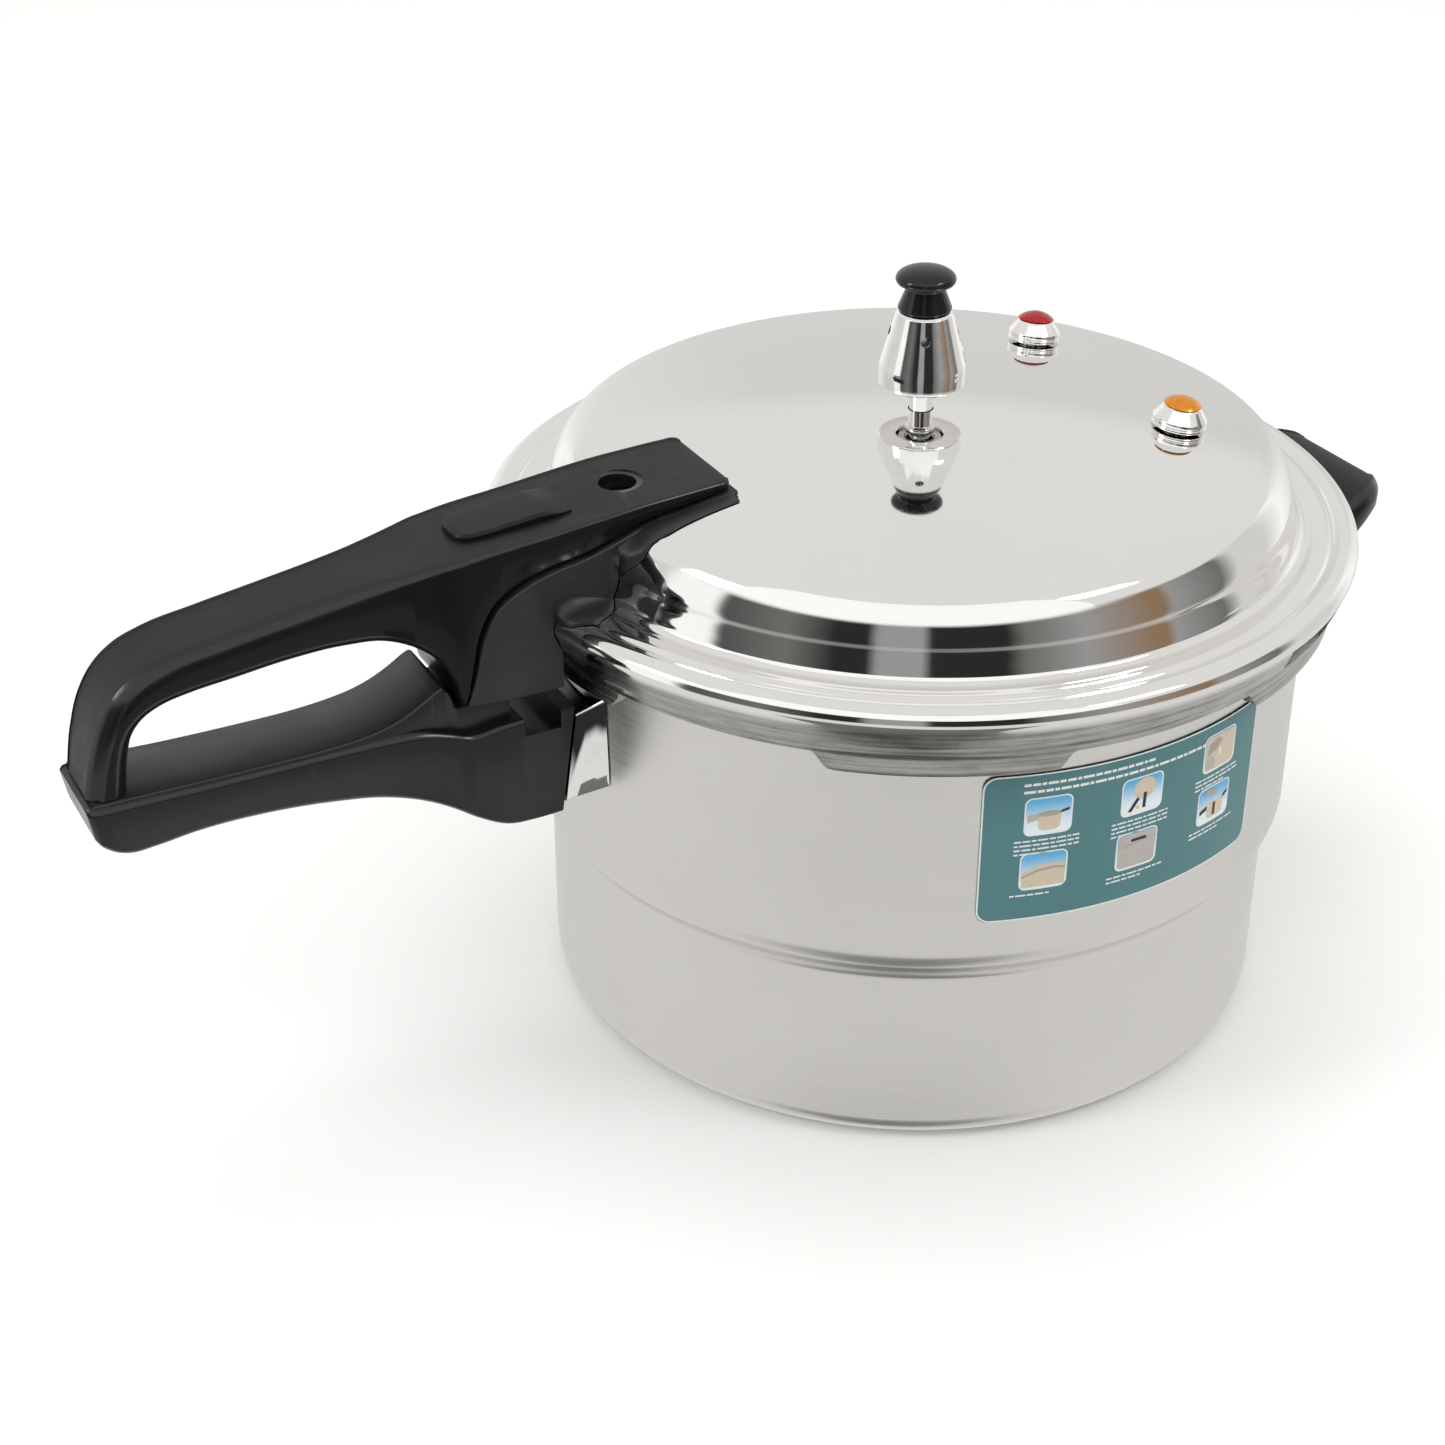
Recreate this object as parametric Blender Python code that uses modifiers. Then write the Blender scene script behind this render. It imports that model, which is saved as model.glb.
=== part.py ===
"""Stovetop pressure cooker: a stepped aluminium pot, a turn-and-lock lid with a rubber ring,
a lift-off weight regulator, a pressure float under the lid handle and two spring-loaded
safety valves, with moulded black handles.

Metres, +Z up. The origin is the centre of the pot's flat bottom, the two long handles point
along -X and the short side handle along +X. The lid is closed and locked.
"""

import math

import bmesh
import bpy
from mathutils import Matrix, Vector

# --- driving sizes, metres -------------------------------------------------------------
GAP = 0.0003                    # kept between pieces that touch
TURN_STEPS = 64                 # facets round the pot and the lid
SMALL_STEPS = 12                # facets round fittings that stay out of sight
FITTING_STEPS = 24              # facets round the fittings on top of the lid

# pot
POT_LOWER_R = 0.1186
POT_UPPER_R = 0.1235
POT_EDGE_R = 0.0082
POT_STEP_Z = 0.0625
POT_STEP_TOP_Z = 0.0720
POT_WALL = 0.0030
POT_FLOOR = 0.0045
POT_RIM_Z = 0.1572

# bayonet lugs: the lid's lugs stand under the pot's lugs when the lid is locked
LUG_COUNT = 6
LUG_PITCH = math.radians(360 / LUG_COUNT)
LUG_PHASE = math.radians(2.0)   # of the first lug, from +X
POT_LUG_ARC = math.radians(27)
POT_LUG_R = 0.1284
POT_LUG_Z = (0.1428, 0.1458)
LID_LUG_ARC = math.radians(31)
LID_LUG_R = 0.1250
LID_LUG_TOP_Z = 0.1423
LUG_CORNER_R = 0.0040

# lid
LID_TOP_Z = 0.1940
DOME_R = 0.6400
SHOULDER_R = 0.1085             # where the dome rolls over
LID_WALL_R = 0.1166
SHELF_Z = 0.1626
FLANGE_R = 0.1375
SKIRT_LOW_R = 0.1314
SKIRT_LUG_Z = 0.1397
SKIRT_GAP_Z = 0.1451
LID_THICK = 0.0023

# window in the skirt that shows the sealing ring
WINDOW_ANGLE = math.radians(297.5)
WINDOW_ARC = math.radians(13.5)
WINDOW_Z = (0.1502, 0.1570)

# fittings on the lid: distance from the centre and direction
VALVE_R = 0.0800
RED_ANGLE = math.radians(30)
ORANGE_ANGLE = math.radians(-30)
FLOAT_R = 0.1050
LID_SCREW_R = 0.0880
LID_SCREW_SPREAD = math.radians(6)

# long handles, measured outwards along -X and upwards
HANDLE_HOLE_R = 0.0057
HANDLE_RING_R = 0.00775
BASE_HALF_WIDTH = 0.0203
HANDLE_CONTACT_Z = 0.1361

# Stations along the moulded handles: top out, top up, bottom out, bottom up, half width and
# corner radius. "Out" is the distance from the pot's axis.
POT_HANDLE_STATIONS = (
    (0.1292, 0.1312, 0.1342, 0.0951, 0.0180, 0.0010),
    (0.1400, 0.1309, 0.1425, 0.0948, 0.0180, 0.0012),
    (0.1520, 0.1303, 0.1520, 0.0955, 0.0178, 0.0014),
    (0.1615, 0.1291, 0.1610, 0.1000, 0.0173, 0.0016),
    (0.1680, 0.1312, 0.1680, 0.1048, 0.0168, 0.0018),
    (0.1760, 0.1335, 0.1755, 0.1090, 0.0162, 0.0020),
    (0.1900, 0.1342, 0.1890, 0.1138, 0.0152, 0.0022),
    (0.2050, 0.1342, 0.2050, 0.1166, 0.0147, 0.0023),
    (0.2250, 0.1342, 0.2250, 0.1186, 0.0146, 0.0023),
    (0.2480, 0.1346, 0.2460, 0.1188, 0.0149, 0.0023),
    (0.2600, 0.1350, 0.2575, 0.1179, 0.0153, 0.0022),
    (0.2680, 0.1352, 0.2650, 0.1180, 0.0156, 0.0022),
    (0.2725, 0.1353, 0.2695, 0.1198, 0.0156, 0.0022),
    (0.2748, 0.1352, 0.2727, 0.1225, 0.0152, 0.0020),
    (0.2757, 0.1346, 0.2739, 0.1243, 0.0142, 0.0016),
)
# The raised band on top of the lower handle: low along the grip, it sweeps up to a stop in
# front of the lid handle's foot.
STOP_STATIONS = (
    (0.1480, 0.1384, 0.1480, 0.1270, 0.0137, 0.0010),
    (0.1600, 0.1386, 0.1600, 0.1270, 0.0137, 0.0010),
    (0.1655, 0.1388, 0.1655, 0.1270, 0.0137, 0.0010),
    (0.1672, 0.1438, 0.1672, 0.1270, 0.0137, 0.0010),
    (0.1688, 0.1456, 0.1688, 0.1270, 0.0137, 0.0010),
    (0.1706, 0.1450, 0.1706, 0.1270, 0.0137, 0.0010),
    (0.1736, 0.1432, 0.1736, 0.1270, 0.0137, 0.0010),
    (0.1769, 0.1413, 0.1769, 0.1270, 0.0137, 0.0010),
    (0.1823, 0.1387, 0.1823, 0.1270, 0.0138, 0.0009),
    (0.1880, 0.1369, 0.1880, 0.1270, 0.0138, 0.0008),
    (0.1950, 0.1357, 0.1950, 0.1270, 0.0138, 0.0007),
    (0.2050, 0.1350, 0.2050, 0.1270, 0.0136, 0.0007),
    (0.2250, 0.1349, 0.2250, 0.1270, 0.0135, 0.0007),
    (0.2480, 0.1353, 0.2480, 0.1270, 0.0137, 0.0007),
    (0.2600, 0.1357, 0.2600, 0.1270, 0.0140, 0.0007),
    (0.2735, 0.1358, 0.2720, 0.1270, 0.0140, 0.0007),
)
# the chrome ferrule flares towards the pot; its hollow runs on beyond both ends
FERRULE_STATIONS = (
    (0.1150, 0.1385, 0.1150, 0.1060, 0.0275, 0.0010),
    (0.1289, 0.1284, 0.1331, 0.0986, 0.0184, 0.0010),
)
FERRULE_HOLLOW = (
    (0.1080, 0.1422, 0.1080, 0.1095, 0.0307, 0.0008),
    (0.1400, 0.1190, 0.1400, 0.0968, 0.0098, 0.0008),
)
POT_TANG = ((-0.1640, -0.0030, 0.1100), (-0.1245, 0.0030, 0.1200))
POT_SCREW_X = -0.1500

SIDE_HANDLE_STATIONS = (
    (0.1180, 0.1380, 0.1180, 0.1120, 0.0350, 0.0020),
    (0.1290, 0.1380, 0.1290, 0.1130, 0.0350, 0.0020),
    (0.1385, 0.1382, 0.1385, 0.1165, 0.0348, 0.0024),
    (0.1480, 0.1396, 0.1480, 0.1215, 0.0340, 0.0026),
    (0.1560, 0.1414, 0.1560, 0.1262, 0.0326, 0.0030),
    (0.1630, 0.1424, 0.1630, 0.1298, 0.0302, 0.0032),
    (0.1685, 0.1424, 0.1685, 0.1318, 0.0268, 0.0032),
    (0.1712, 0.1420, 0.1712, 0.1328, 0.0236, 0.0030),
    (0.1724, 0.1412, 0.1724, 0.1340, 0.0200, 0.0026),
)
SIDE_TANG = ((0.1245, -0.0080, 0.1230), (0.1460, 0.0080, 0.1262))
SIDE_SCREW_X = 0.1400

COVER_STATIONS = (
    (0.0763, 0.1932, 0.0763, 0.1909, 0.0158, 0.0007),
    (0.0768, 0.1934, 0.0768, 0.1907, 0.0173, 0.0008),
    (0.0781, 0.1935, 0.0781, 0.1906, 0.0183, 0.0009),
    (0.0812, 0.1934, 0.0812, 0.1901, 0.0185, 0.0009),
    (0.0930, 0.1929, 0.0930, 0.1884, 0.0188, 0.0009),
    (0.1060, 0.1922, 0.1060, 0.1864, 0.0190, 0.0009),
    (0.1150, 0.1914, 0.1150, 0.1834, 0.0191, 0.0010),
    (0.1240, 0.1905, 0.1240, 0.1806, 0.0190, 0.0010),
    (0.1370, 0.1893, 0.1370, 0.1781, 0.0189, 0.0012),
    (0.1460, 0.1887, 0.1460, 0.1751, 0.0188, 0.0014),
    (0.1535, 0.1881, 0.1535, 0.1700, 0.0187, 0.0016),
    (0.1585, 0.1876, 0.1585, 0.1610, 0.0185, 0.0018),
    (0.1610, 0.1873, 0.1610, 0.1500, 0.0184, 0.0019),
    (0.1638, 0.1870, 0.1638, 0.1398, 0.0183, 0.0020),
    (0.1665, 0.1867, 0.1661, 0.1476, 0.0179, 0.0021),
    (0.1710, 0.1861, 0.1697, 0.1548, 0.0172, 0.0024),
    (0.1775, 0.1852, 0.1758, 0.1604, 0.0163, 0.0028),
    (0.1860, 0.1841, 0.1845, 0.1643, 0.0153, 0.0033),
    (0.1980, 0.1825, 0.1965, 0.1655, 0.0147, 0.0037),
    (0.2150, 0.1802, 0.2120, 0.1651, 0.0144, 0.0039),
    (0.2330, 0.1776, 0.2290, 0.1634, 0.0143, 0.0039),
    (0.2480, 0.1750, 0.2430, 0.1620, 0.0144, 0.0039),
    (0.2565, 0.1718, 0.2500, 0.1607, 0.0147, 0.0040),
    (0.2630, 0.1667, 0.2555, 0.1582, 0.0149, 0.0041),
    (0.2680, 0.1592, 0.2592, 0.1541, 0.0148, 0.0042),
    (0.2717, 0.1490, 0.2612, 0.1474, 0.0142, 0.0043),
    (0.2745, HANDLE_CONTACT_Z, 0.2625, HANDLE_CONTACT_Z, 0.0132, 0.0044),
)
THUMB_PAD_STATIONS = (
    (0.1238, 0.1903, 0.1238, 0.1880, 0.0086, 0.0004),
    (0.1335, 0.1911, 0.1335, 0.1876, 0.0089, 0.0010),
    (0.1450, 0.1904, 0.1450, 0.1872, 0.0090, 0.0012),
    (0.1540, 0.1896, 0.1540, 0.1868, 0.0087, 0.0012),
    (0.1578, 0.1891, 0.1578, 0.1864, 0.0070, 0.0012),
    (0.1594, 0.1885, 0.1594, 0.1862, 0.0040, 0.0010),
)
BASE_STATION_COUNT = 14         # the cover's stations that stand on the base
BASE_FOOT_Z = 0.1396
# Where the base spreads over the lid. For each distance from the pot's axis, its outline
# down one side: half width and height.
BASE_SPREAD = (
    (0.0768, ((0.0160, 0.1902), (0.0185, 0.1901), (0.0205, 0.1900), (0.0218, 0.1898),
              (0.0229, 0.1897), (0.0238, 0.1895), (0.0244, 0.1890), (0.0244, 0.1800))),
    (0.0930, ((0.0180, 0.1880), (0.0192, 0.1880), (0.0204, 0.1879), (0.0217, 0.1879),
              (0.0231, 0.1878), (0.0244, 0.1876), (0.0252, 0.1869), (0.0252, 0.1780))),
    (0.1060, ((0.0180, 0.1860), (0.0192, 0.1859), (0.0204, 0.1857), (0.0218, 0.1856),
              (0.0235, 0.1855), (0.0255, 0.1854), (0.0275, 0.1849), (0.0275, 0.1760))),
    (0.1105, ((0.0180, 0.1844), (0.0194, 0.1840), (0.0204, 0.1835), (0.0215, 0.1831),
              (0.0230, 0.1828), (0.0250, 0.1826), (0.0270, 0.1822), (0.0270, 0.1750))),
    (0.1140, ((0.0185, 0.1832), (0.0196, 0.1824), (0.0206, 0.1815), (0.0218, 0.1806),
              (0.0230, 0.1797), (0.0240, 0.1786), (0.0238, 0.1768), (0.0215, 0.1720))),
    (0.1157, ((0.0190, 0.1826), (0.0200, 0.1812), (0.0206, 0.1792), (0.0203, 0.1765),
              (0.0190, 0.1718), (0.0183, 0.1680), (0.0190, 0.1650), (0.0195, 0.1610))),
    (0.1194, ((0.0195, 0.1816), (0.0200, 0.1795), (0.0199, 0.1768), (0.0191, 0.1725),
              (0.0188, 0.1695), (0.0202, 0.1660), (0.0245, 0.1640), (0.0250, 0.1595))),
    (0.1245, ((0.0198, 0.1800), (0.0202, 0.1775), (0.0201, 0.1748), (0.0196, 0.1712),
              (0.0198, 0.1685), (0.0218, 0.1660), (0.0280, 0.1646), (0.0282, 0.1590))),
    (0.1290, ((0.0200, 0.1790), (0.0203, 0.1766), (0.0202, 0.1738), (0.0200, 0.1708),
              (0.0204, 0.1684), (0.0226, 0.1661), (0.0292, 0.1649), (0.0294, 0.1590))),
    (0.1330, ((0.0200, 0.1780), (0.0203, 0.1757), (0.0203, 0.1730), (0.0202, 0.1702),
              (0.0204, 0.1677), (0.0220, 0.1654), (0.0270, 0.1638), (0.0268, 0.1580))),
    (0.1352, ((0.0198, 0.1772), (0.0202, 0.1750), (0.0203, 0.1724), (0.0203, 0.1697),
              (0.0203, 0.1672), (0.0208, 0.1648), (0.0222, 0.1622), (0.0212, 0.1575))),
)
BASE_FRONT_X = 0.1334           # of the panel below the lid's bead
JOINT_SCREW_X = -0.1490

# label on the pot's upper wall
LABEL_ARC = (math.radians(247.5), math.radians(293.9))
LABEL_Z = (0.0850, 0.1345)
LABEL_CORNER_R = 0.0035
LABEL_THICK = 0.0002

# --- colours: base colour, metallic, roughness -------------------------------------------
ALUMINIUM = ((0.80, 0.79, 0.77), 1.0, 0.28)
POLISHED = ((0.86, 0.85, 0.83), 1.0, 0.08)
CHROME = ((0.88, 0.88, 0.88), 1.0, 0.05)
STEEL = ((0.62, 0.62, 0.63), 1.0, 0.25)
BRASS = ((0.78, 0.62, 0.32), 1.0, 0.25)
BAKELITE = ((0.025, 0.025, 0.025), 0.0, 0.30)
SILICONE = ((0.86, 0.86, 0.84), 0.0, 0.45)
TEAL = ((0.085, 0.215, 0.235), 0.0, 0.35)
RED = ((0.45, 0.03, 0.04), 1.0, 0.25)
ORANGE = ((0.75, 0.27, 0.02), 1.0, 0.25)


# --- scene helpers -----------------------------------------------------------------------
def clear_scene():
    """Start from an empty scene."""
    for obj in list(bpy.data.objects):
        bpy.data.objects.remove(obj, do_unlink=True)


def new_collection(name):
    group = bpy.data.collections.new(name)
    bpy.context.scene.collection.children.link(group)
    return group


def make_material(name, look):
    """A Principled material of one colour."""
    colour, metallic, roughness = look
    material = bpy.data.materials.new(name)
    material.use_nodes = True
    shader = material.node_tree.nodes["Principled BSDF"]
    shader.inputs["Base Color"].default_value = (*colour, 1.0)
    shader.inputs["Metallic"].default_value = metallic
    shader.inputs["Roughness"].default_value = roughness
    material.diffuse_color = (*colour, 1.0)
    return material


def add_object(name, mesh, look, parent=None):
    """A visible piece with its own material, or a hidden cutter when look is None."""
    obj = bpy.data.objects.new(name, mesh)
    if look is None:
        CUTTERS.objects.link(obj)
        obj.hide_render = True
        obj.display_type = "WIRE"
    else:
        COOKER.objects.link(obj)
        mesh.materials.append(make_material(name, look))
    obj.parent = parent
    return obj


def mesh_from(name, bm):
    """A mesh from a bmesh, with its faces turned outwards."""
    bmesh.ops.recalc_face_normals(bm, faces=bm.faces)
    mesh = bpy.data.meshes.new(name)
    bm.to_mesh(mesh)
    bm.free()
    return mesh


def add_frame(name, matrix, parent=None):
    """An empty that carries the pieces of one fitting."""
    empty = bpy.data.objects.new(name, None)
    empty.empty_display_size = 0.01
    empty.matrix_world = matrix
    empty.parent = parent
    COOKER.objects.link(empty)
    return empty


def cut(target, *cutters):
    """Take each cutter away from the target."""
    for cutter in cutters:
        modifier = target.modifiers.new("cut_" + cutter.name, "BOOLEAN")
        modifier.operation = "DIFFERENCE"
        modifier.solver = "EXACT"
        modifier.object = cutter


def join(target, *additions):
    """Join each addition to the target as one solid."""
    for addition in additions:
        modifier = target.modifiers.new("join_" + addition.name, "BOOLEAN")
        modifier.operation = "UNION"
        modifier.solver = "EXACT"
        modifier.object = addition


# --- shape helpers -----------------------------------------------------------------------
def turned(name, outline, look, steps=TURN_STEPS, parent=None, closed=False):
    """A turned solid. The outline is (radius, height) points down the outer side, from the
    axis back to the axis, or a closed loop for a ring."""
    bm = bmesh.new()
    points = [bm.verts.new((radius, 0.0, height)) for radius, height in outline]
    for start, end in zip(points, points[1:]):
        bm.edges.new((start, end))
    if closed:
        bm.edges.new((points[-1], points[0]))
    mesh = bpy.data.meshes.new(name)
    bm.to_mesh(mesh)
    bm.free()
    obj = add_object(name, mesh, look, parent)
    screw = obj.modifiers.new("turn", "SCREW")
    screw.axis = "Z"
    screw.angle = math.tau
    screw.steps = steps
    screw.render_steps = steps
    screw.use_merge_vertices = True
    screw.merge_threshold = 0.00001
    return obj


def arc(centre, radius, start, end, steps):
    """Points on an arc in the outline's plane, angles in degrees."""
    angles = [math.radians(start + (end - start) * k / steps) for k in range(steps + 1)]
    return [(centre[0] + radius * math.cos(a), centre[1] + radius * math.sin(a)) for a in angles]


def cylinder(name, radius, low, high, look, steps=SMALL_STEPS, parent=None):
    """A plain round bar along the frame's Z."""
    outline = [(0.0, high), (radius, high), (radius, low), (0.0, low)]
    return turned(name, outline, look, steps, parent)


def box(name, low, high, look, parent=None):
    """A block between two opposite corners."""
    bm = bmesh.new()
    bmesh.ops.create_cube(bm, size=1.0)
    size = Vector(high) - Vector(low)
    centre = (Vector(high) + Vector(low)) / 2
    fit = Matrix.Translation(centre) @ Matrix.Diagonal((*size, 1.0))
    bmesh.ops.transform(bm, matrix=fit, verts=bm.verts)
    return add_object(name, mesh_from(name, bm), look, parent)


def sector(name, radii, heights, middle, width, look, corner=0.0, parent=None):
    """Part of a ring: between two radii and two heights, over an arc centred on an angle.
    The corners between its ends and its top are rounded when corner is given."""
    across = 10
    bm = bmesh.new()
    columns = []
    for k in range(across + 1):
        angle = middle - width / 2 + width * k / across
        ends = min(k, across - k) * width / across * radii[0]
        drop = corner - math.sqrt(max(corner**2 - max(corner - ends, 0.0) ** 2, 0.0))
        top = heights[1] - drop
        corners = [(radii[0], heights[0]), (radii[1], heights[0]), (radii[1], top), (radii[0], top)]
        columns.append([bm.verts.new((r * math.cos(angle), r * math.sin(angle), z)) for r, z in corners])
    bm.faces.new(columns[0])
    bm.faces.new(columns[-1])
    for here, there in zip(columns, columns[1:]):
        for k in range(len(here)):
            bm.faces.new((here[k - 1], here[k], there[k], there[k - 1]))
    return add_object(name, mesh_from(name, bm), look, parent)


def smooth_stations(stations, between):
    """Catmull-Rom points between the given rows of numbers, which stay on the curve."""
    rows = []
    last = len(stations) - 1
    for index in range(last):
        before = stations[max(index - 1, 0)]
        start = stations[index]
        end = stations[index + 1]
        after = stations[min(index + 2, last)]
        for step in range(between):
            t = step / between
            row = []
            for a, b, c, d in zip(before, start, end, after):
                bend = 2 * a - 5 * b + 4 * c - d
                twist = 3 * b - a - 3 * c + d
                row.append(0.5 * (2 * b + (c - a) * t + bend * t**2 + twist * t**3))
            rows.append(row)
    rows.append(list(stations[-1]))
    return rows


def bar_section(top, bottom, half_width, corner, corner_steps):
    """A rounded rectangle across a bar, from its bottom line to its top line."""
    middle = (Vector(top) + Vector(bottom)) / 2
    up = Vector(top) - Vector(bottom)
    half_height = up.length / 2
    up.normalize()
    radius = min(corner, 0.95 * half_height, 0.95 * half_width)
    points = []
    for quarter, (side, rise) in enumerate(((1, 1), (-1, 1), (-1, -1), (1, -1))):
        for step in range(corner_steps + 1):
            angle = math.radians(90 * (quarter + step / corner_steps))
            across = side * (half_width - radius) + radius * math.cos(angle)
            along = rise * (half_height - radius) + radius * math.sin(angle)
            points.append(middle + up * along + Vector((0.0, across, 0.0)))
    return points


def lofted_bar(name, stations, look, direction=-1, between=2, corner_steps=2, parent=None):
    """A bar skinned over sections. Each station is (top out, top up, bottom out, bottom up,
    half width, corner radius), and direction is the sign of X that it runs along."""
    bm = bmesh.new()
    rings = []
    for top_x, top_z, low_x, low_z, half_width, corner in smooth_stations(stations, between):
        top = (direction * top_x, 0.0, top_z)
        bottom = (direction * low_x, 0.0, low_z)
        section = bar_section(top, bottom, half_width, corner, corner_steps)
        rings.append([bm.verts.new(point) for point in section])
    bm.faces.new(rings[0])
    bm.faces.new(rings[-1])
    for here, there in zip(rings, rings[1:]):
        for k in range(len(here)):
            bm.faces.new((here[k - 1], here[k], there[k], there[k - 1]))
    return add_object(name, mesh_from(name, bm), look, parent)


def coil(name, radius, wire, low, high, turns, look, parent=None):
    """A helical spring of round wire along the frame's Z, with its ends at two heights."""
    per_turn = 8
    curve = bpy.data.curves.new(name, "CURVE")
    curve.dimensions = "3D"
    curve.bevel_depth = wire / 2
    curve.bevel_resolution = 1
    curve.use_fill_caps = True
    spline = curve.splines.new("POLY")
    spline.points.add(turns * per_turn)
    for k, point in enumerate(spline.points):
        angle = math.tau * k / per_turn
        height = low + (high - low) * k / (turns * per_turn)
        point.co = (radius * math.cos(angle), radius * math.sin(angle), height, 1.0)
    return add_object(name, curve, look, parent)


def dome_height(radius):
    """Height of the lid's outer dome at a distance from the centre."""
    return LID_TOP_Z - DOME_R + math.sqrt(DOME_R**2 - radius**2)


def dome_frame(name, radius, angle, parent):
    """A frame standing square on the lid's dome, with its origin on the dome's surface."""
    foot = Matrix.Translation((radius, 0.0, dome_height(radius)))
    lean = Matrix.Rotation(math.asin(radius / DOME_R), 4, "Y")
    return add_frame(name, Matrix.Rotation(angle, 4, "Z") @ foot @ lean, parent)


def wall_frame(name, angle, height):
    """A frame whose Z runs outwards through the pot's wall, so its Z is the radius."""
    lie = Matrix.Rotation(math.radians(90), 4, "Y")
    return add_frame(name, Matrix.Rotation(angle, 4, "Z") @ Matrix.Translation((0, 0, height)) @ lie)


# --- pot ---------------------------------------------------------------------------------
def pot_outside():
    """The pot's outer outline from under the rim down to the middle of its floor."""
    bead_r = POT_UPPER_R + 0.0022
    edge_centre = (POT_LOWER_R - POT_EDGE_R, POT_EDGE_R)
    outline = [
        (POT_UPPER_R + 0.0010, POT_RIM_Z),
        (bead_r, POT_RIM_Z - 0.0008),
        (bead_r, POT_RIM_Z - 0.0032),
        (POT_UPPER_R, POT_RIM_Z - 0.0050),
        (POT_UPPER_R, POT_STEP_TOP_Z),
        (POT_UPPER_R - 0.0011, POT_STEP_TOP_Z - 0.0038),
        (POT_LOWER_R + 0.0012, POT_STEP_Z + 0.0024),
        (POT_LOWER_R, POT_STEP_Z),
    ]
    outline += arc(edge_centre, POT_EDGE_R, 0, -90, 4)
    outline.append((0.0, 0.0))
    return outline


def pot_inside():
    """The pot's inner outline from the middle of its floor up to the rim."""
    inner_low = POT_LOWER_R - POT_WALL
    inner_high = POT_UPPER_R - POT_WALL
    corner = POT_EDGE_R - 0.0020
    outline = [(0.0, POT_FLOOR)]
    outline += arc((inner_low - corner, POT_FLOOR + corner), corner, -90, 0, 3)
    outline += [
        (inner_low, POT_STEP_Z + 0.0020),
        (inner_high, POT_STEP_TOP_Z + 0.0010),
        (inner_high, POT_RIM_Z - 0.0008),
        (inner_high + 0.0008, POT_RIM_Z),
    ]
    return outline


def build_pot():
    """The pot with its six outward lugs."""
    outline = pot_outside() + pot_inside()
    pot = turned("pot_body", outline + outline[:1], ALUMINIUM)
    lugs = []
    for k in range(LUG_COUNT):
        radii = (POT_UPPER_R - 0.0015, POT_LUG_R)
        middle = LUG_PHASE + k * LUG_PITCH
        lug = sector(f"cutter_pot_lug_{k}", radii, POT_LUG_Z, middle, POT_LUG_ARC, None)
        lugs.append(lug)
    join(pot, *lugs)
    return pot


def build_rivet(name, frame, pot):
    """A rivet through the pot's wall, with a domed head inside, and its hole."""
    inner = POT_UPPER_R - POT_WALL - GAP
    outer = POT_UPPER_R + 0.0022 + GAP
    head_r = 0.0052
    shank_r = 0.0024
    outline = [
        (0.0, outer + 0.0014),
        (0.0032, outer + 0.0010),
        (0.0036, outer),
        (shank_r, outer),
        (shank_r, inner),
        (head_r, inner),
        (head_r - 0.0010, inner - 0.0014),
        (0.0, inner - 0.0022),
    ]
    turned(name, outline, STEEL, SMALL_STEPS, frame)
    hole = cylinder("cutter_" + name, shank_r + GAP, inner - 0.002, outer + 0.004, None, parent=frame)
    cut(pot, hole)
    return hole


def wall_plate(name, middle, half_width, heights):
    """A steel plate bent to the pot's wall."""
    radii = (POT_UPPER_R + GAP, POT_UPPER_R + 0.0022)
    return sector(name, radii, heights, middle, 2 * half_width / POT_UPPER_R, STEEL)


def pot_clearance(name):
    """The space that the pot's upper wall takes, with a gap round it."""
    return cylinder(name, POT_UPPER_R + GAP, 0.060, 0.160, None, TURN_STEPS)


def build_pot_handle(pot):
    """The lower long handle, its chrome ferrule and the riveted bracket inside."""
    handle = lofted_bar("pot_handle", POT_HANDLE_STATIONS, BAKELITE)
    notch = box("cutter_handle_notch", (-0.1455, -0.03, 0.1250), (-0.1337, 0.03, 0.14), None)
    pocket_low = [value - GAP for value in POT_TANG[0]]
    pocket_high = [value + GAP for value in POT_TANG[1]]
    pocket = box("cutter_tang_pocket", pocket_low, pocket_high, None)
    screw_frame = add_frame("pot_handle_screw_axis", Matrix.Translation((POT_SCREW_X, 0, 0)))
    recess = cylinder("cutter_screw_recess", 0.0046, 0.0900, 0.1004, None, parent=screw_frame)
    screw_way = cylinder("cutter_screw_way", 0.0021, 0.0950, 0.1195, None, parent=screw_frame)
    join(handle, lofted_bar("cutter_handle_stop", STOP_STATIONS, None))
    cut(handle, notch, pocket, recess, screw_way)

    ferrule = lofted_bar("pot_handle_ferrule", FERRULE_STATIONS, CHROME, between=1)
    hollow = lofted_bar("cutter_ferrule_hollow", FERRULE_HOLLOW, None, between=1)
    cut(ferrule, hollow, pot_clearance("cutter_ferrule_pot"))

    bracket = wall_plate("pot_handle_bracket", math.pi, 0.0145, (0.1040, 0.1260))
    tang = box("cutter_pot_tang", *POT_TANG, None)
    join(bracket, tang)
    cut(bracket, screw_way)
    for side, turn in (("left", -1), ("right", 1)):
        frame = wall_frame(f"pot_handle_rivet_axis_{side}", math.pi + turn * 0.0080 / POT_UPPER_R, 0.1150)
        hole = build_rivet(f"pot_handle_rivet_{side}", frame, pot)
        cut(bracket, hole)
    build_screw("pot_handle_screw", screw_frame, 0.0965, 0.0042, 0.0036, 0.0018, 0.1185)


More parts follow.
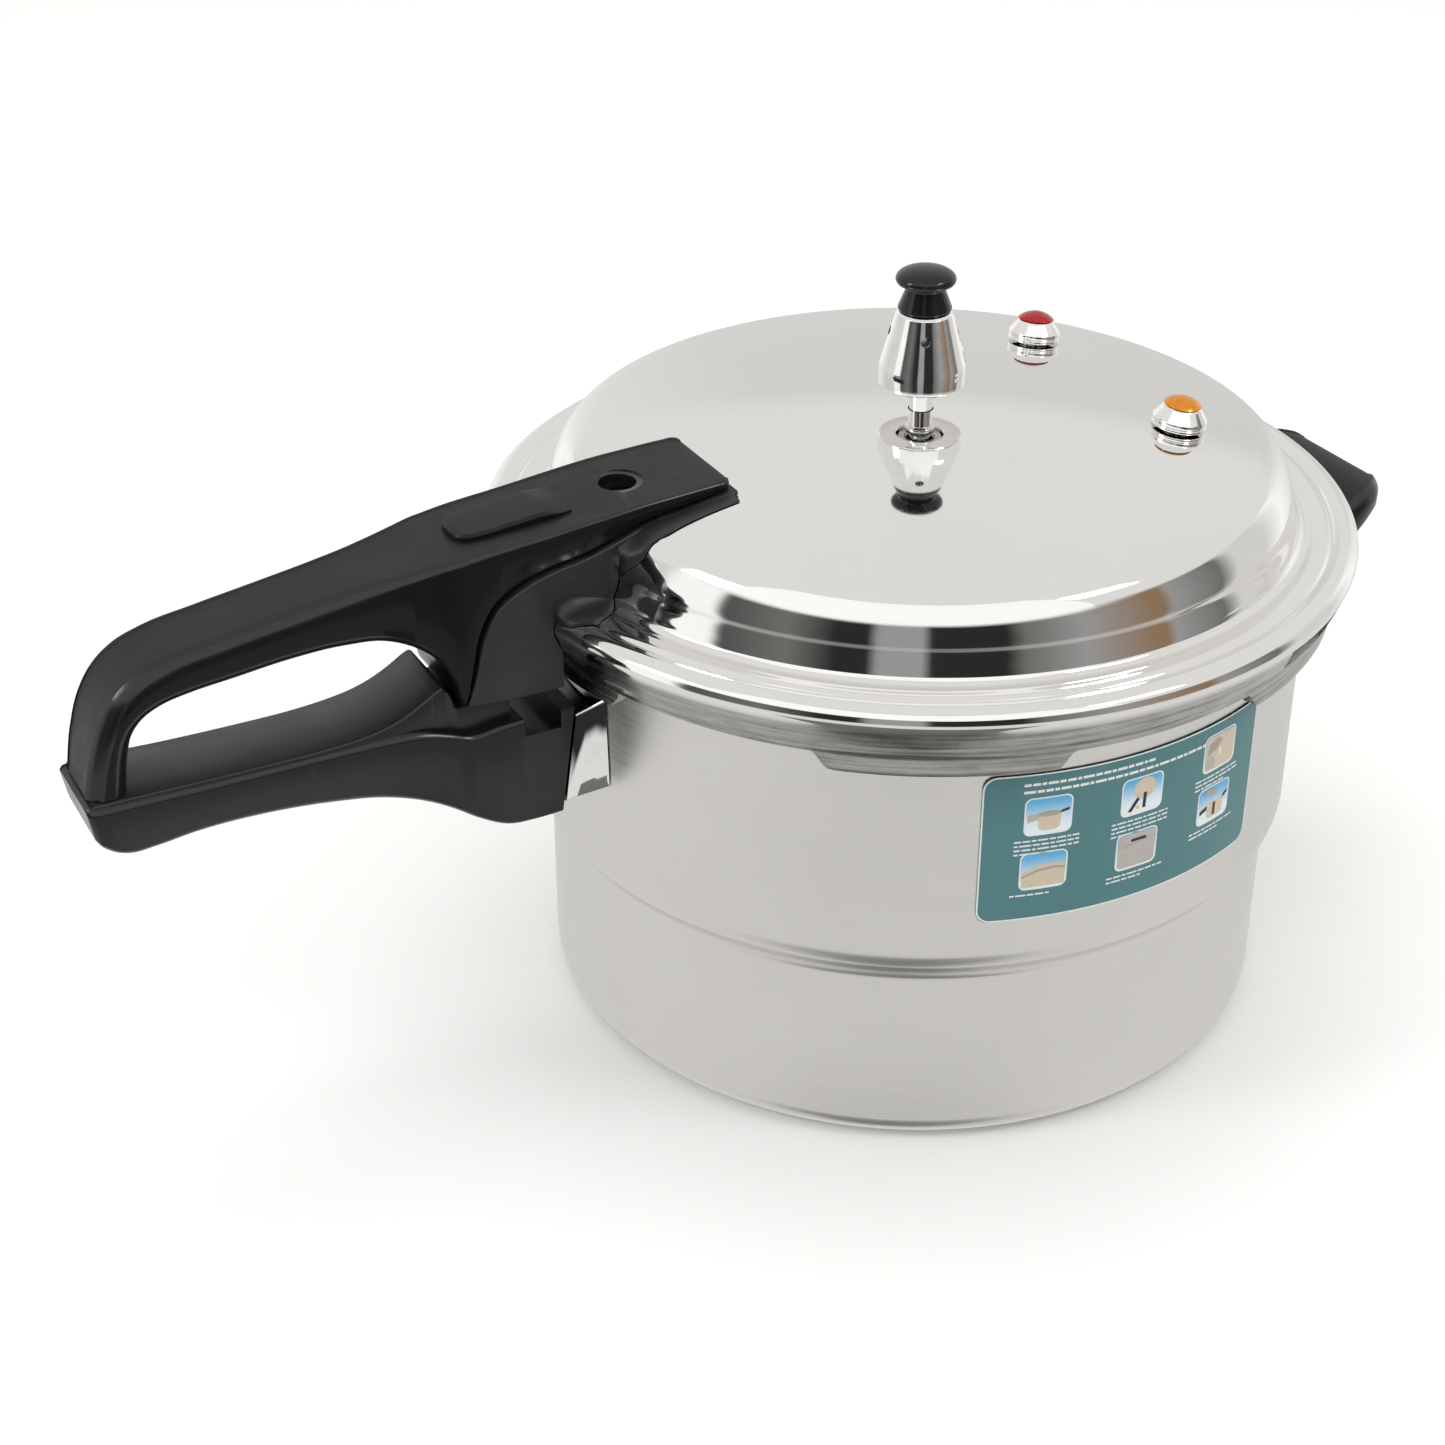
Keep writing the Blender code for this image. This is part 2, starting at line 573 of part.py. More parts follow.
def build_screw(name, frame, head_low, head_r, head_height, shank_r, tip):
    """A pan-head screw whose head is at its lower end."""
    shoulder = head_low + head_height
    outline = [
        (0.0, tip),
        (shank_r - 0.0004, tip),
        (shank_r, tip - 0.0008),
        (shank_r, shoulder),
        (head_r, shoulder),
        (head_r, head_low + 0.0010),
        (head_r - 0.0010, head_low),
        (0.0, head_low),
    ]
    return turned(name, outline, STEEL, SMALL_STEPS, frame)


def build_side_handle(pot):
    """The short handle opposite the long ones, on its own riveted bracket."""
    handle = lofted_bar("side_handle", SIDE_HANDLE_STATIONS, BAKELITE, direction=1)
    plate_room = box("cutter_plate_room", (0.110, -0.0145, 0.1165), (0.1276, 0.0145, 0.1325), None)
    pocket_low = [value - GAP for value in SIDE_TANG[0]]
    pocket_high = [value + GAP for value in SIDE_TANG[1]]
    pocket = box("cutter_side_pocket", pocket_low, pocket_high, None)
    screw_frame = add_frame("side_handle_screw_axis", Matrix.Translation((SIDE_SCREW_X, 0, 0)))
    recess = cylinder("cutter_side_recess", 0.0042, 0.1050, 0.1216, None, parent=screw_frame)
    screw_way = cylinder("cutter_side_screw_way", 0.0020, 0.1150, 0.1300, None, parent=screw_frame)
    cut(handle, pot_clearance("cutter_side_pot"), plate_room, pocket, recess, screw_way)

    bracket = wall_plate("side_handle_bracket", 0.0, 0.0140, (0.1170, 0.1320))
    tang = box("cutter_side_tang", *SIDE_TANG, None)
    join(bracket, tang)
    cut(bracket, screw_way)
    for side, turn in (("left", 1), ("right", -1)):
        frame = wall_frame(f"side_handle_rivet_axis_{side}", turn * 0.0108 / POT_UPPER_R, 0.1290)
        hole = build_rivet(f"side_handle_rivet_{side}", frame, pot)
        cut(bracket, hole)
        cut(handle, rivet_room(f"cutter_rivet_room_{side}", frame))
    build_screw("side_handle_screw", screw_frame, 0.1180, 0.0036, 0.0030, 0.0017, 0.1290)


def rivet_room(name, frame):
    """Room in a handle for a rivet's formed end."""
    return cylinder(name, 0.0042, POT_UPPER_R, POT_UPPER_R + 0.0048, None, parent=frame)


def build_label():
    """The instruction label: a thin sheet bent to the pot's upper wall."""
    radius = POT_UPPER_R + GAP
    length = (LABEL_ARC[1] - LABEL_ARC[0]) * radius
    height = LABEL_Z[1] - LABEL_Z[0]
    corner = LABEL_CORNER_R
    outline = arc((length - corner, height - corner), corner, 0, 90, 4)
    outline += arc((corner, height - corner), corner, 90, 180, 4)
    outline += arc((corner, corner), corner, 180, 270, 4)
    outline += arc((length - corner, corner), corner, 270, 360, 4)
    bm = bmesh.new()
    bm.faces.new([bm.verts.new((x, 0.0, z)) for x, z in outline])
    strips = 12
    for k in range(1, strips):
        everything = bm.verts[:] + bm.edges[:] + bm.faces[:]
        place = (length * k / strips, 0.0, 0.0)
        bmesh.ops.bisect_plane(bm, geom=everything, plane_co=place, plane_no=(1.0, 0.0, 0.0))
    for vert in bm.verts:
        angle = LABEL_ARC[0] + vert.co.x / radius
        vert.co = (radius * math.cos(angle), radius * math.sin(angle), LABEL_Z[0] + vert.co.z)
    label = add_object("instruction_label", mesh_from("instruction_label", bm), TEAL)
    thickness = label.modifiers.new("sheet", "SOLIDIFY")
    thickness.thickness = LABEL_THICK
    thickness.offset = 1.0
    return label


# --- lid ---------------------------------------------------------------------------------
def lid_outside():
    """The lid's outer outline, from its centre down to the foot of the skirt."""
    dome = [SHOULDER_R * k / 5 for k in range(6)]
    outline = [(radius, dome_height(radius)) for radius in dome]
    roll = LID_WALL_R - SHOULDER_R
    outline += [
        (SHOULDER_R + 0.38 * roll, dome_height(SHOULDER_R) - 0.0010),
        (SHOULDER_R + 0.72 * roll, dome_height(SHOULDER_R) - 0.0029),
        (SHOULDER_R + 0.93 * roll, dome_height(SHOULDER_R) - 0.0055),
        (LID_WALL_R, dome_height(SHOULDER_R) - 0.0085),
        (LID_WALL_R + 0.0004, SHELF_Z + 0.0035),
        (LID_WALL_R + 0.0014, SHELF_Z + 0.0012),
        (LID_WALL_R + 0.0034, SHELF_Z),
        (0.1245, SHELF_Z + 0.0006),
        (0.1292, SHELF_Z - 0.0004),
        (0.1300, SHELF_Z + 0.0002),
        (0.1318, SHELF_Z + 0.0009),
        (0.1345, SHELF_Z + 0.0007),
        (0.1367, SHELF_Z - 0.0009),
        (FLANGE_R, SHELF_Z - 0.0031),
        (FLANGE_R - 0.0008, SHELF_Z - 0.0062),
        (0.1340, SKIRT_GAP_Z + 0.0046),
        (SKIRT_LOW_R + 0.0004, SKIRT_GAP_Z - 0.0004),
        (SKIRT_LOW_R, SKIRT_LUG_Z),
    ]
    return outline


def lid_inside():
    """The lid's inner outline, from the locking lugs up to its centre."""
    dome = [(SHOULDER_R - 0.0015) * k / 5 for k in range(5, -1, -1)]
    outline = [
        (LID_LUG_R, SKIRT_LUG_Z),
        (LID_LUG_R, LID_LUG_TOP_Z),
        (SKIRT_LOW_R - LID_THICK, LID_LUG_TOP_Z),
        (0.1318, SKIRT_GAP_Z + 0.0056),
        (FLANGE_R - LID_THICK - 0.0006, SHELF_Z - 0.0060),
        (FLANGE_R - LID_THICK - 0.0006, SHELF_Z - 0.0036),
        (0.1335, SHELF_Z - LID_THICK + 0.0002),
        (LID_WALL_R - 0.0016, SHELF_Z - LID_THICK),
        (LID_WALL_R - LID_THICK, SHELF_Z),
        (LID_WALL_R - LID_THICK, dome_height(SHOULDER_R) - 0.0092),
        (SHOULDER_R + 0.0053, dome_height(SHOULDER_R) - 0.0063),
        (SHOULDER_R + 0.0040, dome_height(SHOULDER_R) - 0.0046),
        (SHOULDER_R + 0.0019, dome_height(SHOULDER_R) - 0.0031),
    ]
    outline += [(radius, dome_height(radius) - LID_THICK) for radius in dome]
    return outline


def lid_clearance(name):
    """The space under the lid's outer surface, with a gap over it."""
    outline = [(0.0, LID_TOP_Z + GAP)]
    grown = lid_outside()
    for before, here, after in zip(grown, grown[1:], grown[2:]):
        away = Vector((before[1] - after[1], after[0] - before[0])).normalized() * GAP
        outline.append((here[0] + away.x, here[1] + away.y))
    outline += [(SKIRT_LOW_R + GAP, 0.1300), (0.0, 0.1300)]
    return turned(name, outline, None)


def build_lid(axis):
    """The pressed lid, with six inward lugs, a window and the holes for its fittings."""
    lid = turned("lid_shell", lid_outside() + lid_inside(), POLISHED, parent=axis)
    gap_arc = LUG_PITCH - LID_LUG_ARC
    for k in range(LUG_COUNT):
        middle = LUG_PHASE + (k + 0.5) * LUG_PITCH
        heights = (0.1300, SKIRT_GAP_Z)
        name = f"cutter_skirt_gap_{k}"
        cut(lid, sector(name, (0.118, 0.146), heights, middle, gap_arc, None, LUG_CORNER_R))
    window = sector("cutter_window", (0.1305, 0.1450), WINDOW_Z, WINDOW_ANGLE, WINDOW_ARC, None)
    cut(lid, window)
    return lid


def build_gasket(axis):
    """The sealing ring: an outer band inside the skirt and a lip over the pot's rim."""
    top = SHELF_Z - LID_THICK - GAP
    outline = [
        (0.1205, top),
        (0.1325, top),
        (0.1335, top - 0.0014),
        (0.1335, 0.1560),
        (0.1313, 0.1512),
        (0.1293, 0.1497),
        (0.1290, 0.1510),
        (0.1290, POT_RIM_Z + GAP),
        (0.1205, POT_RIM_Z + GAP),
    ]
    return turned("lid_gasket", outline, SILICONE, parent=axis, closed=True)


def base_stations():
    """The base runs along the underside of the cover, a gap below it, down to its foot."""
    stations = []
    for top_x, _, low_x, low_z, half_width, _ in COVER_STATIONS[:BASE_STATION_COUNT]:
        closeness = min(max((top_x - 0.1500) / 0.0138, 0.0), 1.0)
        width = BASE_HALF_WIDTH * (1 - closeness) + half_width * closeness
        stations.append((top_x - 0.0009, low_z - GAP, low_x - 0.0009, BASE_FOOT_Z, width, 0.0006))
    return tuple(stations)


def spread_bar(name, sections):
    """A solid skinned over upright sections with free outlines, the same on both sides."""
    bm = bmesh.new()
    rings = []
    for out, side in sections:
        points = [(-out, width, height) for width, height in side]
        points += [(-out, -width, height) for width, height in reversed(side)]
        rings.append([bm.verts.new(point) for point in points])
    bm.faces.new(rings[0])
    bm.faces.new(rings[-1])
    for here, there in zip(rings, rings[1:]):
        for k in range(len(here)):
            bm.faces.new((here[k - 1], here[k], there[k], there[k - 1]))
    return add_object(name, mesh_from(name, bm), None)


def build_lid_handle(lid, axis):
    """The upper long handle: a cover with the grip, and a base that carries it on the lid."""
    cover = lofted_bar("lid_handle_cover", COVER_STATIONS, BAKELITE, parent=axis)
    base = lofted_bar("lid_handle_base", base_stations(), BAKELITE, between=1, parent=axis)

    hole_frame = add_frame("float_hole_axis", Matrix.Translation((-FLOAT_R, 0, 0)))
    outline = [
        (0.0, 0.2000), (HANDLE_RING_R, 0.2000), (HANDLE_RING_R, 0.1917), (HANDLE_HOLE_R, 0.1917),
        (HANDLE_HOLE_R, 0.1700), (0.0, 0.1700),
    ]
    hole = turned("cutter_float_hole", outline, None, 24, hole_frame)
    cut(cover, hole)
    front_low = (-BASE_FRONT_X, -0.03, 0.1300)
    front = box("cutter_base_front", front_low, (-0.1100, 0.03, 0.1540), None)
    join(base, spread_bar("cutter_base_spread", BASE_SPREAD))
    cut(base, lid_clearance("cutter_lid_space"), front, hole)

    for side, turn in (("left", -1), ("right", 1)):
        name = f"lid_handle_screw_{side}"
        frame = dome_frame(name + "_axis", LID_SCREW_R, math.pi + turn * LID_SCREW_SPREAD, axis)
        way = cylinder("cutter_" + name, 0.0022, -0.0060, 0.0036, None, parent=frame)
        cut(lid, way)
        cut(base, way)
        cut(cover, way)
        head_low = -LID_THICK - 2 * GAP - 0.0026
        build_screw(name, frame, head_low, 0.0040, 0.0026, 0.0019, 0.0033)

    screw_frame = add_frame("lid_handle_joint_screw_axis", Matrix.Translation((JOINT_SCREW_X, 0, 0)), axis)
    recess = cylinder("cutter_joint_recess", 0.0044, 0.1350, 0.1450, None, parent=screw_frame)
    way = cylinder("cutter_joint_way", 0.0022, 0.1400, 0.1828, None, parent=screw_frame)
    cut(base, recess, way)
    cut(cover, way)
    join(cover, lofted_bar("cutter_thumb_pad", THUMB_PAD_STATIONS, None))
    build_screw("lid_handle_joint_screw", screw_frame, 0.1412, 0.0040, 0.0034, 0.0019, 0.1822)


# --- fittings through the lid --------------------------------------------------------------
def fitting_hole(name, lid, frame, radius):
    """A hole square through the lid for a fitting."""
    cut(lid, cylinder("cutter_" + name, radius, -0.0060, 0.0040, None, 24, frame))


def build_seal(name, frame, inner, outer, drop=0.0):
    """A flat sealing washer against the inside of the lid, or a drop below it."""
    high = -LID_THICK - 2 * GAP - drop
    low = high - 0.0012
    outline = [(inner, high), (outer, high), (outer, low), (inner, low)]
    turned(name, outline, SILICONE, SMALL_STEPS, frame, closed=True)
    return low


def build_nut(name, frame, inner, across, high, thick):
    """A hexagonal nut with a round hole."""
    outer = across / math.sqrt(3)
    nut = cylinder(name, outer, high - thick, high, STEEL, 6, frame)
    cut(nut, cylinder("cutter_" + name, inner, high - 2 * thick, high + thick, None, FITTING_STEPS, frame))
    return high - thick


def build_vent_pipe(lid, axis):
    """The steam pipe in the middle of the lid, with its seal, nut and anti-clog guard."""
    frame = dome_frame("vent_axis", 0.0, 0.0, axis)
    fitting_hole("vent_hole", lid, frame, 0.0040)
    outline = [
        (0.0012, 0.0180), (0.0021, 0.0180), (0.0024, 0.0168), (0.0035, 0.0148), (0.0035, 0.0086),
        (0.0048, 0.0080), (0.0048, 0.0062), (0.0037, 0.0056), (0.0037, -0.0120), (0.0012, -0.0120),
    ]
    turned("vent_pipe", outline, CHROME, 24, frame, closed=True)
    under = build_seal("vent_pipe_seal", frame, 0.0040, 0.0085)
    nut_low = build_nut("vent_pipe_nut", frame, 0.0040, 0.0135, under - GAP, 0.0045)
    top = nut_low - GAP
    outline = [
        (0.0040, top), (0.0090, top), (0.0098, top - 0.0012), (0.0098, top - 0.0070),
        (0.0088, top - 0.0082), (0.0, top - 0.0082), (0.0, top - 0.0072), (0.0084, top - 0.0072),
        (0.0088, top - 0.0068), (0.0088, top - 0.0012), (0.0040, top - 0.0012), (0.0040, top),
    ]
    guard = turned("anti_clog_guard", outline, STEEL, FITTING_STEPS, frame)
    for k in range(6):
        low = (0.006, -0.0010, top - 0.0060)
        high = (0.012, 0.0010, top - 0.0022)
        slot = box(f"cutter_guard_slot_{k}", low, high, None)
        slot.rotation_euler = (0.0, 0.0, math.tau * k / 6)
        slot.parent = frame
        cut(guard, slot)


def build_regulator(axis):
    """The weight that sits on the steam pipe: chromed body, steel core, knob and its screw."""
    foot = 0.2027
    top = 0.2263
    wall_top = 0.2222
    outline = [
        (0.0024, top), (0.0080, top), (0.00885, top - 0.0007), (0.01355, 0.2092),
        (0.01355, foot + 0.0005), (0.0130, foot), (0.0080, foot), (0.0075, foot + 0.0005),
        (0.0075, wall_top), (0.0024, wall_top),
    ]
    shell = turned("regulator_shell", outline, CHROME, FITTING_STEPS, axis, closed=True)
    for k in range(4):
        turn = Matrix.Rotation(math.radians(61 + 90 * k), 4, "Z")
        lie = Matrix.Rotation(math.radians(72), 4, "Y")
        frame = add_frame(f"steam_hole_axis_{k}", turn @ Matrix.Translation((0, 0, 0.2163)) @ lie)
        cut(shell, cylinder(f"cutter_steam_hole_{k}", 0.0015, 0.0030, 0.0200, None, 12, frame))

    seat = LID_TOP_Z + 0.0180 + GAP
    outline = [
        (0.0, seat + 0.0040), (0.0064, seat + 0.0040), (0.0072, seat + 0.0030), (0.0072, foot + 0.0020),
        (0.0068, foot + 0.0014), (0.0052, foot + 0.0014), (0.0043, foot + 0.0026), (0.0043, seat - 0.0030),
        (0.0029, seat), (0.0, seat),
    ]
    turned("regulator_core", outline, STEEL, 24, axis)

    outline = [
        (0.0, 0.2196), (0.0030, 0.2196), (0.0038, 0.2202), (0.0038, wall_top - GAP),
        (0.0020, wall_top - GAP), (0.0020, 0.2340), (0.0, 0.2340),
    ]
    turned("regulator_screw", outline[::-1], STEEL, SMALL_STEPS, axis)

    middle = 0.2364
    knob_r = 0.0093
    knob_rise = 0.0038
    cap = [
        (knob_r * math.cos(math.radians(a)), middle + knob_rise * math.sin(math.radians(a)))
        for a in (90, 76, 62, 48, 34, 20, 8, -6, -20)
    ]
    low = top + GAP
    outline = cap + [
        (0.0062, 0.2342), (0.0062, 0.2332), (0.0084, low + 0.0006), (0.0078, low),
        (0.0023, low), (0.0023, 0.2344), (0.0, 0.2344),
    ]
    turned("regulator_knob", outline, BAKELITE, FITTING_STEPS, axis)


def build_safety_valve(colour, look, angle, lid, axis):
    """A spring-loaded safety valve: a coloured cap on a stem that lifts out of its housing."""
    frame = dome_frame(colour + "_valve_axis", VALVE_R, angle, axis)
    fitting_hole(colour + "_valve_hole", lid, frame, 0.0054)
    foot = -0.0140
    flange_low = 2 * GAP
    outline = [
        (0.0022, 0.0073), (0.0055, 0.0073), (0.0060, 0.0069), (0.00865, 0.0034), (0.00865, flange_low),
        (0.0050, flange_low), (0.0050, foot), (0.0019, foot), (0.0019, foot + 0.0020),
        (0.0038, foot + 0.0020), (0.0038, 0.0052), (0.0022, 0.0052),
    ]
    turned(colour + "_valve_housing", outline, CHROME, FITTING_STEPS, frame, closed=True)
    under = build_seal(colour + "_valve_seal", frame, 0.0053, 0.0090)
    build_nut(colour + "_valve_nut", frame, 0.0053, 0.0160, under - GAP, 0.0045)

    cap_low = 0.0073 + GAP
    outline = [
        (0.0, 0.0101), (0.0021, 0.0098), (0.0041, 0.0090), (0.0056, 0.0080), (0.00595, cap_low),
        (0.0017, cap_low), (0.0017, 0.0092), (0.0, 0.0092),
    ]
    turned(colour + "_valve_cap", outline, look, FITTING_STEPS, frame)
    seat = foot + 0.0020 + GAP
    outline = [
        (0.0, 0.0090), (0.0014, 0.0090), (0.0014, seat + 0.0024), (0.0034, seat + 0.0020),
        (0.0034, seat), (0.0015, seat), (0.0012, foot + 0.0005), (0.0, foot + 0.0005),
    ]
    turned(colour + "_valve_stem", outline, STEEL, SMALL_STEPS, frame)
    wire = 0.0008
    low = seat + 0.0024 + GAP + wire / 2
    high = 0.0052 - GAP - wire / 2
    coil(colour + "_valve_spring", 0.0027, wire, low, high, 4, STEEL, frame)


def build_float(lid, axis):
    """The pressure float: a pin that rises into the lid handle's hole and shows pressure."""
    frame = dome_frame("float_axis", FLOAT_R, math.pi, axis)
    fitting_hole("float_lid_hole", lid, frame, 0.0040)
    flange_top = build_seal("float_seal", frame, 0.0040, 0.0054, 0.0006) - GAP
    flange_low = flange_top - 0.0012
    outline = [
        (0.0023, 0.0006), (0.0036, 0.0006), (0.0036, flange_top), (0.0056, flange_top),
        (0.0056, flange_low), (0.0023, flange_low),
    ]
    turned("float_bush", outline, STEEL, FITTING_STEPS, frame, closed=True)
    outline = [
        (0.0, 0.0014), (0.0030, 0.0014), (0.0032, 0.0010), (0.0018, 0.0009), (0.0018, -0.0098),
        (0.0042, -0.0102), (0.0046, -0.0108), (0.0046, -0.0124), (0.0, -0.0128),
    ]
    turned("float_pin", outline, BRASS, SMALL_STEPS, frame)


def build_cooker():
    """Build every piece at rest: lid closed and locked, weight on its pipe."""
    lid_axis = add_frame("lid_axis", Matrix.Identity(4))
    regulator_axis = add_frame("regulator_axis", Matrix.Identity(4), lid_axis)
    pot = build_pot()
    build_pot_handle(pot)
    build_side_handle(pot)
    build_label()
    build_gasket(lid_axis)
    lid = build_lid(lid_axis)
    build_lid_handle(lid, lid_axis)
    build_vent_pipe(lid, lid_axis)
    build_regulator(regulator_axis)
    build_safety_valve("red", RED, RED_ANGLE, lid, lid_axis)
    build_safety_valve("orange", ORANGE, ORANGE_ANGLE, lid, lid_axis)
    build_float(lid, lid_axis)


clear_scene()
COOKER = new_collection("stovetop_pressure_cooker")
CUTTERS = new_collection("cutters")
build_cooker()
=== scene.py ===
"""The looks of a stovetop pressure cooker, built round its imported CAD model.

Metres, +Z up. The long handles point along -X, the short side handle along +X. Turned and
moulded pieces are rebuilt here with fine, rounded outlines, so that polished metal reflects
smoothly, and every piece has its own procedural finish.
"""

import math

import bmesh
import bpy
from mathutils import Matrix, Vector


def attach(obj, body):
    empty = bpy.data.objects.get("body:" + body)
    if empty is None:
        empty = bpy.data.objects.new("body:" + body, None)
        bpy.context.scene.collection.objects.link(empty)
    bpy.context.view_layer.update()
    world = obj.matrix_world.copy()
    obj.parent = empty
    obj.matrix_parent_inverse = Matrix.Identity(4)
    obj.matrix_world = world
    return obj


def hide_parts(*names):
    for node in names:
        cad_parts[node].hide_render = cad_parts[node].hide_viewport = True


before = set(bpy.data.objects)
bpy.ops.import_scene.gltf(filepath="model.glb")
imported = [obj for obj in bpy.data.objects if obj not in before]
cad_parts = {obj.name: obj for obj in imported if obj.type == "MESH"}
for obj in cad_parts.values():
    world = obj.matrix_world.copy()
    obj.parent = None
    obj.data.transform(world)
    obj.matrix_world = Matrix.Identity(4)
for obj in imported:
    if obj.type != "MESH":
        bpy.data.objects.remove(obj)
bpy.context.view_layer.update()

# --- sizes shared with the CAD model ------------------------------------------------------
GAP = 0.0003
POT_LOWER_R = 0.1186
POT_UPPER_R = 0.1235
POT_EDGE_R = 0.0082
POT_WALL = 0.0030
POT_STEP_Z = 0.0625
POT_STEP_TOP_Z = 0.0720
POT_RIM_Z = 0.1572
LUG_COUNT = 6
LUG_PHASE = math.radians(2.0)
LUG_PITCH = math.radians(60)
POT_LUG_ARC = math.radians(27)
POT_LUG_R = 0.1284
POT_LUG_Z = (0.1428, 0.1458)
POT_FLOOR = 0.0045
LID_LUG_ARC = math.radians(31)
LID_TOP_Z = 0.1940
DOME_R = 0.6400
SHOULDER_R = 0.1085
LID_WALL_R = 0.1166
SHELF_Z = 0.1626
FLANGE_R = 0.1375
SKIRT_LOW_R = 0.1314
SKIRT_LUG_Z = 0.1397
SKIRT_GAP_Z = 0.1451
LID_THICK = 0.0023
LID_LUG_R = 0.1250
WINDOW_ANGLE = math.radians(297.5)
WINDOW_ARC = math.radians(13.5)
WINDOW_Z = (0.1502, 0.1570)
VALVE_R = 0.0800
RED_ANGLE = math.radians(30)
ORANGE_ANGLE = math.radians(-30)
FLOAT_R = 0.1050
REGULATOR_FOOT_Z = 0.2027
REGULATOR_TOP_Z = 0.2263


# --- materials ------------------------------------------------------------------------------
class Graph:
    """Shader nodes under construction, starting from a place in space."""

    def __init__(self, tree, coordinates):
        self.tree = tree
        self.place = self.node("ShaderNodeTexCoord").outputs[coordinates]

    def node(self, kind, **settings):
        made = self.tree.nodes.new(kind)
        for key, value in settings.items():
            setattr(made, key, value)
        return made

    def feed(self, socket, value):
        if isinstance(value, bpy.types.NodeSocket):
            self.tree.links.new(value, socket)
        else:
            socket.default_value = value

    def math(self, operation, first, second=0.0, third=0.0):
        made = self.node("ShaderNodeMath", operation=operation)
        for socket, value in zip(made.inputs, (first, second, third)):
            self.feed(socket, value)
        return made.outputs[0]

    def span(self, value, low, high, to_low=0.0, to_high=1.0):
        """The value's way from low to high, eased and clamped, on a new scale."""
        made = self.node("ShaderNodeMapRange", interpolation_type="SMOOTHSTEP")
        for socket, number in zip(made.inputs, (value, low, high, to_low, to_high)):
            self.feed(socket, number)
        return made.outputs["Result"]

    def stretched(self, scale, place=None):
        """The object's coordinates, scaled on each axis."""
        made = self.node("ShaderNodeMapping")
        self.feed(made.inputs["Vector"], place or self.place)
        made.inputs["Scale"].default_value = scale
        return made.outputs["Vector"]

    def noise(self, scale=(1.0, 1.0, 1.0), detail=3.0, rough=0.5, place=None):
        made = self.node("ShaderNodeTexNoise")
        self.feed(made.inputs["Vector"], self.stretched(scale, place))
        made.inputs["Scale"].default_value = 1.0
        made.inputs["Detail"].default_value = detail
        made.inputs["Roughness"].default_value = rough
        return made.outputs["Fac"]

    def blend(self, amount, first, second):
        """A colour between two colours."""
        made = self.node("ShaderNodeMix", data_type="RGBA")
        for socket, value in zip((made.inputs[0], made.inputs[6], made.inputs[7]), (amount, first, second)):
            self.feed(socket, (*value, 1.0) if isinstance(value, tuple) else value)
        return made.outputs[2]

    def split(self, place=None):
        made = self.node("ShaderNodeSeparateXYZ")
        self.feed(made.inputs[0], place or self.place)
        return made.outputs

    def radius(self):
        """Distance from the object's upright axis."""
        x, y, _ = self.split()
        return self.math("SQRT", self.math("MULTIPLY_ADD", x, x, self.math("MULTIPLY", y, y)))

    def bump(self, height, strength, distance, under=None):
        made = self.node("ShaderNodeBump")
        made.inputs["Strength"].default_value = strength
        made.inputs["Distance"].default_value = distance
        self.feed(made.inputs["Height"], height)
        if under is not None:
            self.feed(made.inputs["Normal"], under)
        return made.outputs["Normal"]


class Look(Graph):
    """A procedural material under construction."""

    def __init__(self, name, colour, metallic=0.0, roughness=0.5, **values):
        self.material = bpy.data.materials.new(name)
        self.material.use_nodes = True
        self.material.diffuse_color = (*colour, 1.0)
        super().__init__(self.material.node_tree, "Object")
        self.shader = self.tree.nodes["Principled BSDF"]
        self.shader.inputs["Base Color"].default_value = (*colour, 1.0)
        self.shader.inputs["Metallic"].default_value = metallic
        self.shader.inputs["Roughness"].default_value = roughness
        for socket, value in values.items():
            self.shader.inputs[socket.replace("_", " ")].default_value = value

    def finish(self, colour, roughness=None, normal=None):
        """Connect the shader's colour, roughness and normal, and give the material."""
        for socket, value in (("Base Color", colour), ("Roughness", roughness), ("Normal", normal)):
            if value is not None:
                self.feed(self.shader.inputs[socket], value)
        return self.material


def satin_aluminium():
    """Horizontally brushed aluminium, a little warm, with faint cloudy handling marks."""
    look = Look("satin_aluminium", (0.80, 0.785, 0.76), 1.0, 0.3, Anisotropic=0.55)
    around = look.node("ShaderNodeTangent", direction_type="RADIAL", axis="Z")
    look.feed(look.shader.inputs["Tangent"], around.outputs[0])
    lines = look.noise((9.0, 9.0, 1500.0), 4.0, 0.65)
    hair = look.noise((30.0, 30.0, 5200.0), 2.0, 0.5)
    cloud = look.noise((14.0, 14.0, 20.0), 3.0, 0.55)
    shade = look.math("MULTIPLY_ADD", lines, 0.6, look.math("MULTIPLY", cloud, 0.4))
    return look.finish(
        look.blend(look.span(shade, 0.3, 0.7), (0.765, 0.752, 0.73), (0.825, 0.812, 0.79)),
        look.math("MULTIPLY_ADD", look.span(lines, 0.25, 0.75), 0.10, 0.26),
        look.bump(lines, 0.08, 0.00006, look.bump(hair, 0.10, 0.00004)),
    )


